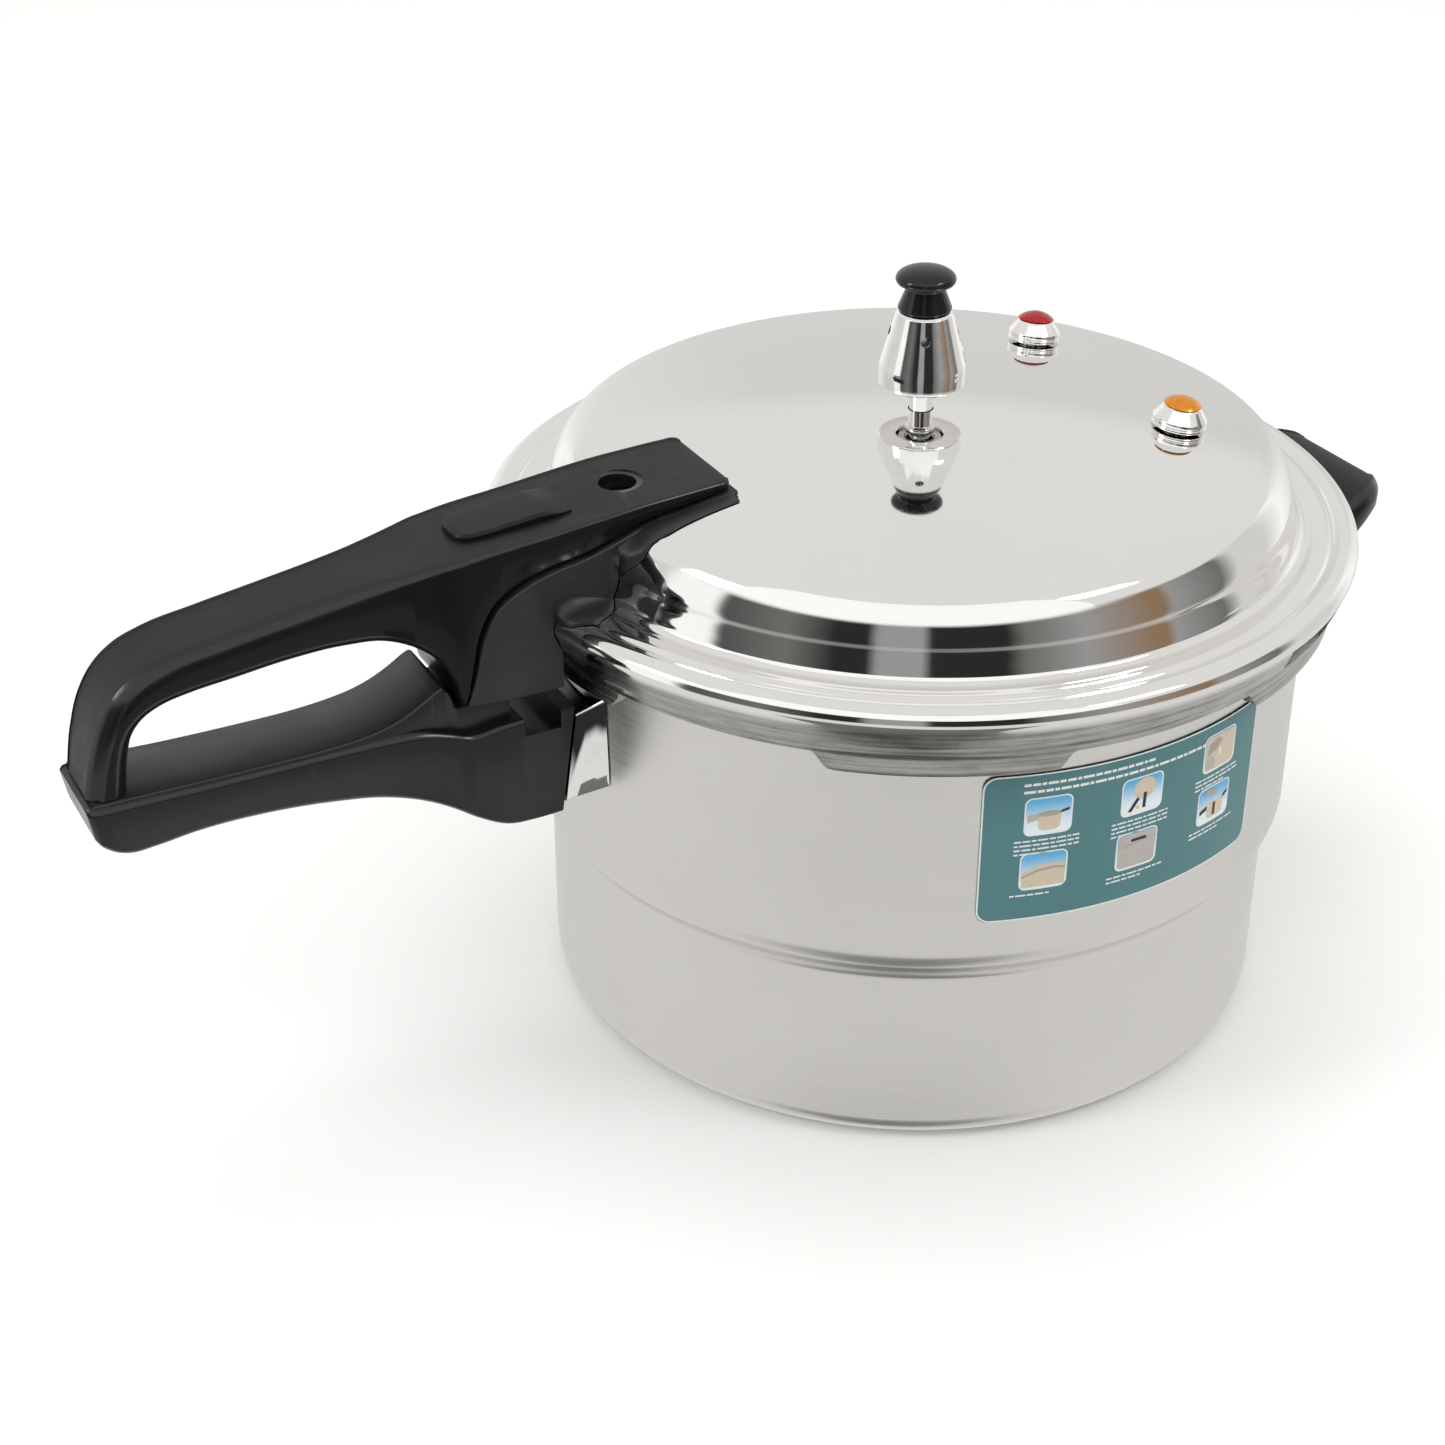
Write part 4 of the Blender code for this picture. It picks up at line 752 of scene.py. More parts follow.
def lid_inner_outline():
    """The lid's inside above its lugs, from the skirt up to just short of its centre."""
    high = dome_height(SHOULDER_R)
    inner_flange = FLANGE_R - LID_THICK - 0.0006
    inner_wall = LID_WALL_R - LID_THICK
    radii = [(SHOULDER_R - 0.0015) * k / 12 for k in range(12, 0, -1)]
    return [
        (0.1318, SKIRT_GAP_Z + 0.0056), (inner_flange, SHELF_Z - 0.0060), (inner_flange, SHELF_Z - 0.0036),
        (0.1335, SHELF_Z - LID_THICK + 0.0002), (LID_WALL_R - 0.0016, SHELF_Z - LID_THICK),
        (inner_wall, SHELF_Z), (inner_wall, high - 0.0092), (SHOULDER_R + 0.0053, high - 0.0063),
        (SHOULDER_R + 0.0040, high - 0.0046), (SHOULDER_R + 0.0019, high - 0.0031),
        *((radius, dome_height(radius) - LID_THICK) for radius in radii),
    ]


def lid_mesh():
    """The whole lid in columns round its axis, since its skirt hangs lower at the lugs."""
    upper = lid_upper_outline()
    inner = lid_inner_outline()
    start_r, start_z = upper[-1]
    inner_r = SKIRT_LOW_R - LID_THICK
    bm = bmesh.new()
    columns = []
    for angle in lid_columns():
        reach = skirt_reach(angle)
        low = SKIRT_GAP_Z + (SKIRT_LUG_Z - SKIRT_GAP_Z) * reach
        lug_r = inner_r + (LID_LUG_R - inner_r) * reach
        lug_top = low + 0.0026 * reach + 0.0002
        skirt = []
        for step in range(1, 7):
            z = start_z + (low + 0.0005 - start_z) * step / 6
            blend = min(max((start_z - z) / (start_z - SKIRT_GAP_Z), 0.0), 1.0)
            skirt.append((start_r + (SKIRT_LOW_R - start_r) * math.sin(blend * math.pi / 2), z))
        foot_r = skirt[-1][0]
        lug = [
            (foot_r - 0.0002, low + 0.0001), (foot_r - 0.0006, low), (lug_r + 0.0006, low),
            (lug_r, low + 0.0006), (lug_r, lug_top + 0.0001), (inner_r - 0.0001, lug_top + 0.0002),
            (inner_r, max(low + 0.0040, lug_top + 0.0006)),
        ]
        profile = upper[1:] + skirt + lug + inner
        columns.append([bm.verts.new((r * math.cos(angle), r * math.sin(angle), z)) for r, z in profile])
    top = bm.verts.new((0.0, 0.0, LID_TOP_Z))
    bottom = bm.verts.new((0.0, 0.0, LID_TOP_Z - LID_THICK))
    for here, there in zip(columns, columns[1:] + columns[:1]):
        bm.faces.new((top, here[0], there[0]))
        bm.faces.new((bottom, there[-1], here[-1]))
        for k in range(len(here) - 1):
            bm.faces.new((here[k], here[k + 1], there[k + 1], there[k]))
    return mesh_of("lid_shell_fine", bm)


def build_lid():
    """The lid with the holes for its fittings and the window, and the ring in it."""
    fittings = ((0.0040, 0.0, 0.0), (0.0054, VALVE_R, RED_ANGLE), (0.0054, VALVE_R, ORANGE_ANGLE))
    fittings += ((0.0040, FLOAT_R, math.pi),)
    tools = []
    for hole_r, out, angle in fittings:
        tools.append(bar_mesh("hole", hole_r, hole_r, -0.006, 0.004, dome_frame(out, angle)))
    tools.append(sector_mesh("window", (0.1300, 0.1450), WINDOW_Z, WINDOW_ANGLE, WINDOW_ARC))
    place("lid_shell_fine", cut_away(lid_mesh(), *tools), ["lid"], "lid", ["lid_shell"])

    top = SHELF_Z - LID_THICK - GAP
    points = [
        (0.1205, top), (0.1325, top), (0.1335, top - 0.0014), (0.1335, 0.1560), (0.1313, 0.1512),
        (0.1293, 0.1497), (0.1290, 0.1510), (0.1290, POT_RIM_Z + GAP), (0.1205, POT_RIM_Z + GAP),
    ]
    ring = turned_mesh("lid_gasket_fine", softened(points, 0.0008, 3, True), 192, True)
    place("lid_gasket_fine", ring, ["silicone"], "gasket", ["lid_gasket"])


COVER_STATIONS = (
    (0.0763, 0.1932, 0.0763, 0.1909, 0.0158, 0.0007),
    (0.0768, 0.1934, 0.0768, 0.1907, 0.0173, 0.0008),
    (0.0781, 0.1935, 0.0781, 0.1906, 0.0183, 0.0009),
    (0.0812, 0.1934, 0.0812, 0.1901, 0.0185, 0.0009),
    (0.0930, 0.1929, 0.0930, 0.1884, 0.0188, 0.0009),
    (0.1060, 0.1922, 0.1060, 0.1864, 0.0190, 0.0009),
    (0.1150, 0.1914, 0.1150, 0.1834, 0.0191, 0.0010),
    (0.1240, 0.1905, 0.1240, 0.1806, 0.0190, 0.0010),
    (0.1370, 0.1893, 0.1370, 0.1781, 0.0189, 0.0012),
    (0.1460, 0.1887, 0.1460, 0.1751, 0.0188, 0.0014),
    (0.1535, 0.1881, 0.1535, 0.1700, 0.0187, 0.0016),
    (0.1585, 0.1876, 0.1585, 0.1610, 0.0185, 0.0018),
    (0.1610, 0.1873, 0.1610, 0.1500, 0.0184, 0.0019),
    (0.1638, 0.1870, 0.1638, 0.1398, 0.0183, 0.0020),
    (0.1665, 0.1867, 0.1661, 0.1476, 0.0179, 0.0021),
    (0.1710, 0.1861, 0.1697, 0.1548, 0.0172, 0.0024),
    (0.1775, 0.1852, 0.1758, 0.1604, 0.0163, 0.0028),
    (0.1860, 0.1841, 0.1845, 0.1643, 0.0153, 0.0033),
    (0.1980, 0.1825, 0.1965, 0.1655, 0.0147, 0.0037),
    (0.2150, 0.1802, 0.2120, 0.1651, 0.0144, 0.0039),
    (0.2330, 0.1776, 0.2290, 0.1634, 0.0143, 0.0039),
    (0.2480, 0.1750, 0.2430, 0.1620, 0.0144, 0.0039),
    (0.2565, 0.1718, 0.2500, 0.1607, 0.0147, 0.0040),
    (0.2630, 0.1667, 0.2555, 0.1582, 0.0149, 0.0041),
    (0.2680, 0.1592, 0.2592, 0.1541, 0.0148, 0.0042),
    (0.2717, 0.1490, 0.2612, 0.1474, 0.0142, 0.0043),
    (0.2745, 0.1361, 0.2625, 0.1361, 0.0132, 0.0044),
)
BASE_STATION_COUNT = 14
BASE_FOOT_Z = 0.1396
BASE_HALF_WIDTH = 0.0203
BASE_FRONT_X = 0.1334
# where the base spreads over the lid: for each distance out, half widths and heights down one side
BASE_SPREAD = (
    (0.0768, ((0.0160, 0.1902), (0.0185, 0.1901), (0.0205, 0.1900), (0.0218, 0.1898),
              (0.0229, 0.1897), (0.0238, 0.1895), (0.0244, 0.1890), (0.0244, 0.1800))),
    (0.0930, ((0.0180, 0.1880), (0.0192, 0.1880), (0.0204, 0.1879), (0.0217, 0.1879),
              (0.0231, 0.1878), (0.0244, 0.1876), (0.0252, 0.1869), (0.0252, 0.1780))),
    (0.1060, ((0.0180, 0.1860), (0.0192, 0.1859), (0.0204, 0.1857), (0.0218, 0.1856),
              (0.0235, 0.1855), (0.0255, 0.1854), (0.0275, 0.1849), (0.0275, 0.1760))),
    (0.1105, ((0.0180, 0.1844), (0.0194, 0.1840), (0.0204, 0.1835), (0.0215, 0.1831),
              (0.0230, 0.1828), (0.0250, 0.1826), (0.0270, 0.1822), (0.0270, 0.1750))),
    (0.1140, ((0.0185, 0.1832), (0.0196, 0.1824), (0.0206, 0.1815), (0.0218, 0.1806),
              (0.0230, 0.1797), (0.0240, 0.1786), (0.0238, 0.1768), (0.0215, 0.1720))),
    (0.1157, ((0.0190, 0.1826), (0.0200, 0.1812), (0.0206, 0.1792), (0.0203, 0.1765),
              (0.0190, 0.1718), (0.0183, 0.1680), (0.0190, 0.1650), (0.0195, 0.1610))),
    (0.1194, ((0.0195, 0.1816), (0.0200, 0.1795), (0.0199, 0.1768), (0.0191, 0.1725),
              (0.0188, 0.1695), (0.0202, 0.1660), (0.0245, 0.1640), (0.0250, 0.1595))),
    (0.1245, ((0.0198, 0.1800), (0.0202, 0.1775), (0.0201, 0.1748), (0.0196, 0.1712),
              (0.0198, 0.1685), (0.0218, 0.1660), (0.0280, 0.1646), (0.0282, 0.1590))),
    (0.1290, ((0.0200, 0.1790), (0.0203, 0.1766), (0.0202, 0.1738), (0.0200, 0.1708),
              (0.0204, 0.1684), (0.0226, 0.1661), (0.0292, 0.1649), (0.0294, 0.1590))),
    (0.1330, ((0.0200, 0.1780), (0.0203, 0.1757), (0.0203, 0.1730), (0.0202, 0.1702),
              (0.0204, 0.1677), (0.0220, 0.1654), (0.0270, 0.1638), (0.0268, 0.1580))),
    (0.1352, ((0.0198, 0.1772), (0.0202, 0.1750), (0.0203, 0.1724), (0.0203, 0.1697),
              (0.0203, 0.1672), (0.0208, 0.1648), (0.0222, 0.1622), (0.0212, 0.1575))),
)


def base_stations():
    """The base runs along the underside of the cover, a gap below it, down to its foot."""
    stations = []
    for top_x, _, low_x, low_z, half_width, _ in COVER_STATIONS[:BASE_STATION_COUNT]:
        closeness = min(max((top_x - 0.1500) / 0.0138, 0.0), 1.0)
        width = BASE_HALF_WIDTH * (1 - closeness) + half_width * closeness
        top_z = max(low_z - GAP, BASE_FOOT_Z + 0.0015)
        stations.append((top_x - 0.0009, top_z, low_x - 0.0009, BASE_FOOT_Z, width, 0.0006))
    return tuple(stations)


def lid_space():
    """The space under the lid's outer surface, with a gap over it."""
    outline = [(0.0, LID_TOP_Z + GAP)]
    grown = lid_upper_outline()[::3]
    for before, here, after in zip(grown, grown[1:], grown[2:]):
        away = Vector((before[1] - after[1], after[0] - before[0])).normalized() * GAP
        outline.append((here[0] + away.x, here[1] + away.y))
    outline += [(SKIRT_LOW_R + GAP, SKIRT_GAP_Z), (SKIRT_LOW_R + GAP, 0.1300), (0.0, 0.1300)]
    return turned_mesh("lid_space", outline, 192)


def thumb_pad_mesh():
    """A raised pad with a faceted ramp towards the lid and a blunt, rounded outer end."""
    rows = (
        (0.1238, 0.0086, 0.0001), (0.1240, 0.0087, 0.0001), (0.1334, 0.0090, 0.0018),
        (0.1338, 0.0090, 0.0018), (0.1450, 0.0090, 0.0017), (0.1530, 0.0088, 0.0017),
        (0.1562, 0.0080, 0.0017), (0.1583, 0.0063, 0.0016), (0.1594, 0.0040, 0.0015),
        (0.1598, 0.0012, 0.0015),
    )
    rings = []
    for out, half, rise in curve_through(rows, 3):
        cover_z = 0.1914 + (0.1870 - 0.1914) * (out - 0.1150) / (0.1638 - 0.1150)
        half = max(half, 0.0001)
        section = (
            (-half, -0.0012), (-half, 0.55 * rise), (-0.86 * half, 0.92 * rise), (0.0, rise + 0.00025),
            (0.86 * half, 0.92 * rise), (half, 0.55 * rise), (half, -0.0012),
        )
        rings.append([(-out, y, cover_z + z) for y, z in section])
    return skinned("thumb_pad", rings)


def spread_mesh():
    """The part of the base that spreads over the lid, skinned over its outlines."""
    rows = [(out, *(value for point in side for value in point)) for out, side in BASE_SPREAD]
    rings = []
    for out, *flat in curve_through(rows, 3):
        side = curve_through(list(zip(flat[::2], flat[1::2])), 3)
        ring = [(-out, width, height) for width, height in side]
        rings.append(ring + [(-out, -width, height) for width, height in reversed(side)])
    return skinned("base_spread", rings)


def build_lid_handle():
    """The cover with its grip, the thumb pad on it, and the base cut to the lid."""
    step = [
        (0.0, 0.2000), (0.00775, 0.2000), (0.00775, 0.1917), (0.0057, 0.1917), (0.0057, 0.1700), (0.0, 0.1700),
    ]
    hole = turned_mesh("hole", softened(step, 0.0003, 2), 64)
    hole.transform(Matrix.Translation((-FLOAT_R, 0, 0)))
    cover = cut_away(lofted_mesh("lid_handle_cover_fine", COVER_STATIONS), hole.copy())
    finish = ["edge_black", "matte_black", "gloss_black"]
    place("lid_handle_cover_fine", cover, finish, "lid", ["lid_handle_cover"])
    pad = place("lid_handle_thumb_pad", thumb_pad_mesh(), ["matte_black"], "lid", crease=20)
    front = block_mesh("front", (-BASE_FRONT_X, -0.03, 0.1300), (-0.1100, 0.03, 0.1540))
    arm = lofted_mesh("arm", base_stations(), between=3, steps=3, lip=0.0)
    parts = [cut_away(part, lid_space(), front.copy(), hole.copy()) for part in (arm, spread_mesh())]
    base = of_one_material(fused("lid_handle_base_fine", *parts))
    place("lid_handle_base_fine", base, ["panel_black"], "lid", ["lid_handle_base"])


# --- fittings ---------------------------------------------------------------------------------
def build_regulator():
    """The weight: a chrome body with steam holes, a steel core and a black knob."""
    foot = REGULATOR_FOOT_Z
    top = REGULATOR_TOP_Z
    wall_top = 0.2222
    shell = [
        (0.0024, top), (0.0080, top), (0.00885, top - 0.0007), (0.01345, 0.2094), (0.01355, 0.2090),
        (0.01355, foot + 0.0005), (0.0130, foot), (0.0080, foot), (0.0075, foot + 0.0005),
        (0.0075, wall_top), (0.0024, wall_top),
    ]
    mesh = turned_mesh("regulator_shell_fine", softened(shell, 0.00035, 3, True), 96, True)
    cutters = []
    for k in range(4):
        turn = Matrix.Rotation(math.radians(61 + 90 * k), 4, "Z")
        lie = Matrix.Rotation(math.radians(72), 4, "Y")
        matrix = turn @ Matrix.Translation((0, 0, 0.2163)) @ lie
        cutters.append(bar_mesh("steam_hole", 0.0015, 0.0015, 0.0030, 0.0200, matrix, 32))
    place("regulator_shell_fine", cut_away(mesh, *cutters), ["chrome"], "regulator", ["regulator_shell"])

    seat = LID_TOP_Z + 0.0180 + GAP
    core = [
        (0.0, seat + 0.0040), (0.0064, seat + 0.0040), (0.0072, seat + 0.0030), (0.0072, foot + 0.0020),
        (0.0068, foot + 0.0014), (0.0052, foot + 0.0014), (0.0043, foot + 0.0026), (0.0043, seat - 0.0030),
        (0.0029, seat), (0.0, seat),
    ]
    mesh = turned_mesh("core", softened(core, 0.0002, 2), 64)
    place("regulator_core_fine", mesh, ["steel"], "regulator", ["regulator_core"])

    angles = [math.radians(a) for a in range(90, -24, -6)]
    cap = [(0.0093 * math.cos(a), 0.2364 + 0.0038 * math.sin(a)) for a in angles]
    low = top + GAP
    neck = [
        cap[-1], (0.0064, 0.2341), (0.0061, 0.2334), (0.0063, 0.2326), (0.0084, low + 0.0007),
        (0.0079, low), (0.0023, low), (0.0023, 0.2344), (0.0, 0.2344),
    ]
    knob = turned_mesh("knob", cap[:-1] + softened(neck, 0.0005, 4), 72)
    place("regulator_knob_fine", knob, ["knob_black"], "regulator", ["regulator_knob"])


def build_vent_pipe():
    outline = [
        (0.0012, 0.0180), (0.0021, 0.0180), (0.0024, 0.0168), (0.0035, 0.0148), (0.0035, 0.0086),
        (0.0048, 0.0080), (0.0048, 0.0062), (0.0037, 0.0056), (0.0037, -0.0120), (0.0012, -0.0120),
    ]
    pipe = turned_mesh("vent_pipe_fine", softened(outline, 0.0003, 3, True), 64, True)
    place("vent_pipe_fine", pipe, ["chrome"], "lid", ["vent_pipe"], matrix=dome_frame(0.0, 0.0))


def build_valve(colour, angle):
    """A safety valve's chrome housing, and the coloured cap that lifts out of it."""
    at = dome_frame(VALVE_R, angle)
    low = 2 * GAP
    foot = -0.0140
    outline = [
        (0.0022, 0.0073), (0.0056, 0.0073), (0.00605, 0.0069), (0.00625, 0.0066), (0.0084, 0.0038),
        (0.00865, 0.0034), (0.00865, 0.0023), (0.00835, 0.0021), (0.00835, 0.0018), (0.00865, 0.0016),
        (0.00865, low + 0.0003), (0.0083, low), (0.0050, low), (0.0050, foot), (0.0019, foot),
        (0.0019, foot + 0.0020), (0.0038, foot + 0.0020), (0.0038, 0.0052), (0.0022, 0.0052),
    ]
    housing = turned_mesh(colour + "_housing", softened(outline, 0.00025, 2, True), 72, True)
    place(colour + "_valve_housing_fine", housing, ["chrome"], "lid", [colour + "_valve_housing"], matrix=at)
    dome = [(0.0, 0.0101), (0.0012, 0.0100), (0.0026, 0.0096), (0.0041, 0.0090), (0.0052, 0.0083), (0.0058, 0.0078)]
    cap = curve_through(dome, 3) + [(0.00595, 0.0076), (0.0017, 0.0076), (0.0017, 0.0092), (0.0, 0.0092)]
    mesh = turned_mesh(colour + "_cap", cap, 72)
    place(colour + "_valve_cap_fine", mesh, [colour], colour + "_valve", [colour + "_valve_cap"], matrix=at)


# --- label ------------------------------------------------------------------------------------
LABEL_START = math.radians(247.5)
LABEL_END = math.radians(293.9)
LABEL_LOW_Z = 0.0850
LABEL_HIGH_Z = 0.1345
LABEL_R = POT_UPPER_R + GAP
LABEL_LENGTH = 1000 * (LABEL_END - LABEL_START) * LABEL_R
LABEL_HEIGHT = 1000 * (LABEL_HIGH_Z - LABEL_LOW_Z)
INKS = ("white_ink", "teal", "sky_ink", "cream_ink", "shade_ink", "grey_ink", "dark_ink", "yellow_ink")


class LabelPrint:
    """Flat printed shapes, drawn in millimetres from the label's lower left corner and wrapped
    round the pot. Each layer lies a hair above the one before."""

    def __init__(self):
        self.bm = bmesh.new()
        self.uv = self.bm.loops.layers.uv.new("panel")

    def shape(self, outline, ink, layer, panel=None):
        """One filled outline. panel is its picture's box, for the background's fade."""
        flat = bmesh.new()
        flat.faces.new([flat.verts.new((x, y, 0.0)) for x, y in outline])
        low = min(x for x, _ in outline)
        high = max(x for x, _ in outline)
        cut_at = math.floor(low / 2 + 1) * 2
        while cut_at < high:
            everything = flat.verts[:] + flat.edges[:] + flat.faces[:]
            bmesh.ops.bisect_plane(flat, geom=everything, plane_co=(cut_at, 0, 0), plane_no=(1, 0, 0))
            cut_at += 2
        radius = LABEL_R + 0.00022 + 0.00003 * layer
        for face in flat.faces:
            corners = []
            for vert in face.verts:
                angle = LABEL_START + vert.co.x / 1000 / LABEL_R
                height = LABEL_LOW_Z + vert.co.y / 1000
                corners.append(self.bm.verts.new((radius * math.cos(angle), radius * math.sin(angle), height)))
            made = self.bm.faces.new(corners)
            made.material_index = INKS.index(ink)
            made.normal_update()
            if made.normal.dot(made.calc_center_median() * Vector((1, 1, 0))) < 0:
                made.normal_flip()
            if panel:
                for loop in made.loops:
                    height = 1000 * (loop.vert.co.z - LABEL_LOW_Z)
                    loop[self.uv].uv = (0.5, (height - panel[1]) / (panel[3] - panel[1]))
        flat.free()

    def plate(self, box, corner, ink, layer, panel=None):
        self.shape(rounded(box, corner), ink, layer, panel)

    def bar(self, x, y, length, height, ink="white_ink"):
        """One printed line, as a row of dashes of uneven length."""
        widths = (2.3, 1.4, 3.1, 1.9, 2.7, 1.2, 3.6, 2.1)
        at = x
        number = int(10 * x + 7 * y)
        while at < x + length - 0.6:
            width = min(widths[number % len(widths)], x + length - at)
            outline = [(at, y), (at + width, y), (at + width, y + height), (at, y + height)]
            self.shape(outline, ink, 2)
            at += width + 0.45
            number += 1


def rounded(box, corner):
    """The outline of a rectangle with rounded corners."""
    x0, y0, x1, y1 = box
    outline = arc((x1 - corner, y1 - corner), corner, 0, 90, 5)
    outline += arc((x0 + corner, y1 - corner), corner, 90, 180, 5)
    outline += arc((x0 + corner, y0 + corner), corner, 180, 270, 5)
    return outline + arc((x1 - corner, y0 + corner), corner, 270, 360, 5)


def oval(x, y, across, up, step):
    turns = [math.radians(a) for a in range(0, 360, step)]
    return [(x + across * math.cos(a), y + up * math.sin(a)) for a in turns]


def star(x, y):
    points = []
    for k in range(10):
        reach = 0.4 if k % 2 else 0.9
        turn = math.radians(90 + 36 * k)
        points.append((x + reach * math.cos(turn), y + reach * math.sin(turn)))
    return points


# generic pictograms of a pot and its parts: ink, layer and outline from the panel's lower left corner
PICTURES = {
    "pan": (
        ("cream_ink", 4, [(3.6, 6.6), (4.0, 1.9), (5.4, 1.1), (9.2, 1.1), (10.5, 1.9), (10.8, 6.6)]),
        ("shade_ink", 5, oval(7.2, 6.6, 3.6, 0.9, 20)),
        ("grey_ink", 6, [(0.6, 4.3), (3.9, 5.0), (4.4, 6.2), (3.4, 6.9), (0.6, 6.6)]),
        ("dark_ink", 6, [(10.6, 6.4), (13.2, 7.0), (13.2, 7.9), (10.6, 7.2)]),
    ),
    "open": (
        ("cream_ink", 4, oval(7.6, 8.1, 3.9, 3.6, 15)),
        ("dark_ink", 5, [(7.1, 1.4), (8.2, 1.4), (8.4, 6.6), (7.2, 6.6)]),
        ("dark_ink", 5, [(2.0, 1.2), (3.2, 0.9), (6.0, 4.8), (5.0, 5.5)]),
        ("yellow_ink", 6, star(5.4, 2.0)),
    ),
    "rim": (
        ("cream_ink", 4, [(0.3, 0.5), (13.6, 0.5), (13.6, 7.6), (10.0, 8.4), (5.0, 7.7), (0.3, 5.6)]),
        ("shade_ink", 5, [(0.3, 4.4), (5.0, 6.4), (10.0, 7.0), (13.6, 6.4), (13.6, 5.8), (10.0, 6.3),
                          (5.0, 5.7), (0.3, 3.7)]),
    ),
    "window": (
        ("grey_ink", 4, rounded((0.3, 0.3, 13.5, 11.6), 1.4)),
        ("shade_ink", 5, [(0.4, 7.6), (13.4, 9.2), (13.4, 8.9), (0.4, 7.3)]),
        ("dark_ink", 6, rounded((4.6, 8.9, 10.0, 9.9), 0.3)),
    ),
    "weight": (
        ("cream_ink", 4, rounded((0.3, 0.3, 13.5, 11.6), 1.4)),
        ("shade_ink", 5, [(1.0, 5.6), (5.2, 6.8), (7.6, 9.6), (5.4, 10.8), (1.6, 9.4)]),
        ("grey_ink", 6, [(0.8, 1.0), (4.4, 1.0), (4.8, 3.4), (3.2, 5.4), (0.8, 4.6)]),
        ("white_ink", 6, [(6.2, 4.2), (7.2, 4.4), (7.0, 7.2), (6.1, 7.0)]),
    ),
    "steam": (
        ("cream_ink", 4, [(3.8, 6.4), (4.2, 1.6), (5.6, 0.9), (9.8, 0.9), (11.2, 1.6), (11.6, 6.4)]),
        ("dark_ink", 5, rounded((6.6, 1.6, 7.8, 6.0), 0.3)),
        ("dark_ink", 6, [(0.7, 3.4), (3.8, 4.4), (3.8, 5.8), (0.7, 4.8)]),
        ("dark_ink", 6, [(11.2, 6.0), (13.2, 7.2), (13.0, 8.2), (11.0, 7.0)]),
        ("shade_ink", 6, [(2.2, 9.8), (6.4, 8.6), (8.2, 9.4), (7.2, 10.8), (3.0, 11.2)]),
    ),
}


def build_label():
    """The label's teal ground, rows of dashes for its lines, and six framed pictures."""
    printer = LabelPrint()
    printer.plate((0.0, 0.0, LABEL_LENGTH, LABEL_HEIGHT), 4.2, "white_ink", 0)
    printer.plate((0.5, 0.5, LABEL_LENGTH - 0.5, LABEL_HEIGHT - 0.5), 3.8, "teal", 1)
    printer.bar(12.0, 45.6, 42.0, 0.9)
    printer.bar(12.0, 43.2, 64.0, 0.9)
    width, height = 13.8, 11.9
    cells = (
        (13.0, 29.2, "pan", 4), (43.6, 29.2, "open", 4), (74.5, 33.5, "weight", 3),
        (12.6, 10.6, "rim", 1), (43.2, 10.6, "window", 2), (74.0, 15.4, "steam", 2),
    )
    edge = 0.45
    for x, y, kind, lines in cells:
        panel = (x, y, x + width, y + height)
        printer.plate((x - edge, y - edge, x + width + edge, y + height + edge), 2.2, "white_ink", 2)
        printer.plate(panel, 1.8, "sky_ink", 3, panel)
        for ink, layer, outline in PICTURES[kind]:
            printer.shape([(x + a, y + b) for a, b in outline], ink, layer)
        for line in range(lines):
            length = 20.0 if line < lines - 1 else 13.0
            printer.bar(x - 3.0, y - 2.4 - 1.45 * line, length, 0.55)
    mesh = bpy.data.meshes.new("label_print")
    printer.bm.to_mesh(mesh)
    printer.bm.free()
    obj = place("instruction_label_print", mesh, INKS, "pot", crease=60)


# --- finishes for the pieces that keep their CAD shape ------------------------------------------
CAD_FINISHES = {
    "lid_gasket": "silicone", "float_pin": "brass", "instruction_label": "teal", "pot_body": "pot",
    "lid_shell": "lid", "pot_handle": "gloss_black", "side_handle": "gloss_black",
    "lid_handle_cover": "gloss_black", "lid_handle_base": "gloss_black",
    "regulator_knob": "gloss_black", "red_valve_cap": "red", "orange_valve_cap": "orange",
}


def finish_cad_nodes():
    """Every CAD piece gets a detailed finish by what it is made of."""
    for name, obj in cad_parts.items():
        key = CAD_FINISHES.get(name, "silicone" if name.endswith("_seal") else "steel")
        obj.data.materials.clear()
        obj.data.materials.append(LOOKS[key])


# --- floor, light and camera ---------------------------------------------------------------------
def stage_piece(name, mesh, look):
    obj = bpy.data.objects.new(name, mesh)
    bpy.context.scene.collection.objects.link(obj)
    obj.data.materials.append(look.material)
    return obj


def build_stage():
    """A pale paper floor, and a bright backdrop that only the camera sees."""
    bm = bmesh.new()
    bmesh.ops.create_circle(bm, cap_ends=True, segments=96, radius=6.0)
    paper = Look("floor_paper", (0.97, 0.97, 0.965), 0.0, 0.9)
    paper.finish(paper.blend(paper.noise((3.0, 3.0, 3.0), 2.0), (0.965, 0.965, 0.96), (0.975, 0.975, 0.97)))
    floor = stage_piece("floor", mesh_of("floor", bm), paper)
    floor.visible_glossy = False

    bright = {"Emission_Color": (1.0, 1.0, 1.0, 1.0), "Emission_Strength": 1.0}
    pale = Look("backdrop_paper", (0.0, 0.0, 0.0), 0.0, 1.0, **bright)
    wall = stage_piece("backdrop", turned_mesh("backdrop", [(0.0, 5.0), (4.0, 3.5), (5.9, 0.0)], 96), pale)
    for kind in ("diffuse", "glossy", "transmission", "volume_scatter", "shadow"):
        setattr(wall, "visible_" + kind, False)


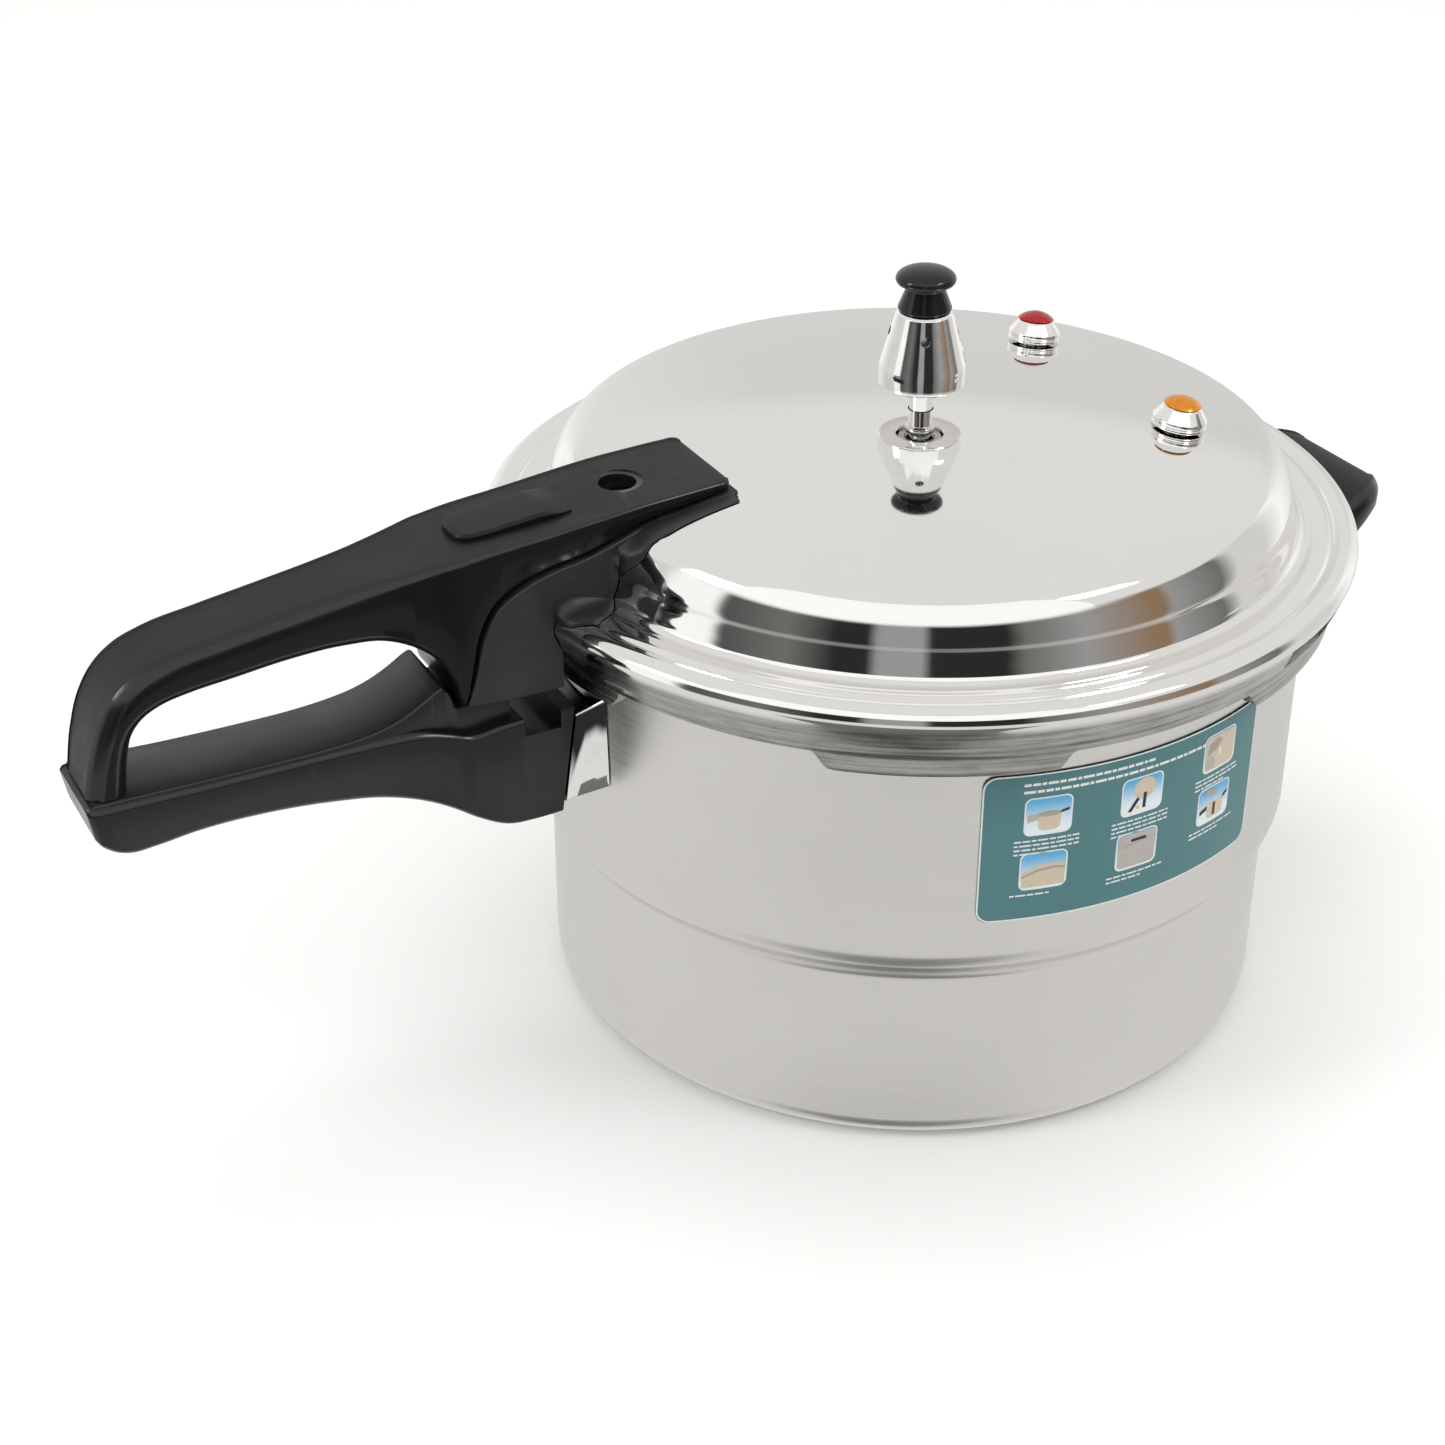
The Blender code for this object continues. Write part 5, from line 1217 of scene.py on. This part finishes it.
# tones of the studio's surroundings
WALL = (0.84, 0.83, 0.81)
PANEL = (1.25, 1.24, 1.22)
WINDOW = (0.40, 0.40, 0.40)
GLOOM = (0.10, 0.10, 0.10)
SHADE = (0.20, 0.20, 0.19)
DARK = (0.03, 0.03, 0.03)
WOOD = (0.34, 0.22, 0.13)
CEILING = (0.96, 0.95, 0.93)
STRIP = (1.30, 1.30, 1.29)
TABLE = (0.90, 0.89, 0.87)


# tones round the horizon, from +X and back to it, by part of a turn
HORIZON = (
    (0.000, WALL), (0.040, PANEL), (0.110, WALL), (0.180, WALL), (0.250, PANEL), (0.360, WALL),
    (0.440, WALL), (0.455, PANEL), (0.495, PANEL), (0.505, GLOOM), (0.560, SHADE), (0.600, DARK),
    (0.626, DARK), (0.634, WINDOW), (0.668, WINDOW), (0.676, DARK), (0.735, DARK), (0.750, SHADE),
    (0.800, WINDOW), (0.862, WOOD), (0.872, WOOD), (0.880, WINDOW), (0.935, SHADE), (0.955, WALL),
)


def build_world():
    """Soft studio surroundings: a bright ceiling and table, and pale walls with darker gaps."""
    world = bpy.data.worlds.new("studio")
    bpy.context.scene.world = world
    world.use_nodes = True
    sky = Graph(world.node_tree, "Generated")
    x, y, z = sky.split()
    turn = sky.math("DIVIDE", sky.math("ARCTAN2", y, x), math.tau)
    turn = sky.math("FRACT", sky.math("ADD", turn, 1.0))
    walls = sky.node("ShaderNodeValToRGB")
    sky.feed(walls.inputs[0], turn)
    ramp = walls.color_ramp
    while len(ramp.elements) < len(HORIZON):
        ramp.elements.new(0.5)
    for element, (position, value) in zip(ramp.elements, HORIZON):
        element.position = position
        element.color = (*value, 1.0)

    def in_front(middle, reach, height):
        """1 where a direction is within reach of the middle turn and below the height."""
        side = sky.math("ABSOLUTE", sky.math("SUBTRACT", turn, middle))
        return sky.math("MULTIPLY", sky.math("LESS_THAN", side, reach), sky.math("LESS_THAN", z, height))

    ceiling = sky.blend(in_front(0.655, 0.16, 0.90), CEILING, STRIP)
    upper = sky.blend(sky.span(z, 0.33, 0.41), walls.outputs[0], ceiling)
    table = sky.blend(in_front(0.66, 0.115, -0.74), TABLE, SHADE)
    background = sky.tree.nodes["Background"]
    sky.feed(background.inputs["Color"], sky.blend(sky.span(z, -0.24, -0.40), upper, table))
    background.inputs["Strength"].default_value = 0.85


def add_area(name, location, size, power, mirrored=True):
    """A softbox that faces the cooker, and whether polished surfaces mirror it."""
    data = bpy.data.lights.new(name, "AREA")
    data.shape = "RECTANGLE"
    data.size, data.size_y = size
    data.energy = power
    lamp = bpy.data.objects.new(name, data)
    bpy.context.scene.collection.objects.link(lamp)
    lamp.location = location
    lamp.visible_glossy = mirrored
    lamp.rotation_euler = (Vector((0.0, 0.0, 0.10)) - Vector(location)).to_track_quat("-Z", "Y").to_euler()


def build_lights():
    build_world()
    add_area("softbox_right", (0.62, -0.86, 1.26), (0.50, 0.25), 3.4)
    add_area("softbox_left", (-1.35, 0.19, 0.95), (0.40, 0.40), 4.0)
    add_area("softbox_top", (0.1, 0.3, 2.2), (1.2, 1.2), 11.0, False)


def build_camera():
    data = bpy.data.cameras.new("camera")
    data.lens = 64.52
    data.sensor_width = 36.0
    data.clip_start = 0.01
    data.clip_end = 50.0
    camera = bpy.data.objects.new("camera", data)
    bpy.context.scene.collection.objects.link(camera)
    camera.location = (-0.4038, -0.6282, 0.5168)
    camera.rotation_euler = (math.radians(59.62), 0.0, math.radians(-28.0))
    bpy.context.scene.camera = camera


build_camera()
finish_cad_nodes()
build_pot()
build_pot_handles()
build_lid()
build_lid_handle()
build_regulator()
build_vent_pipe()
build_valve("red", RED_ANGLE)
build_valve("orange", ORANGE_ANGLE)
build_label()
build_stage()
build_lights()
bpy.context.scene.view_settings.view_transform = "Standard"
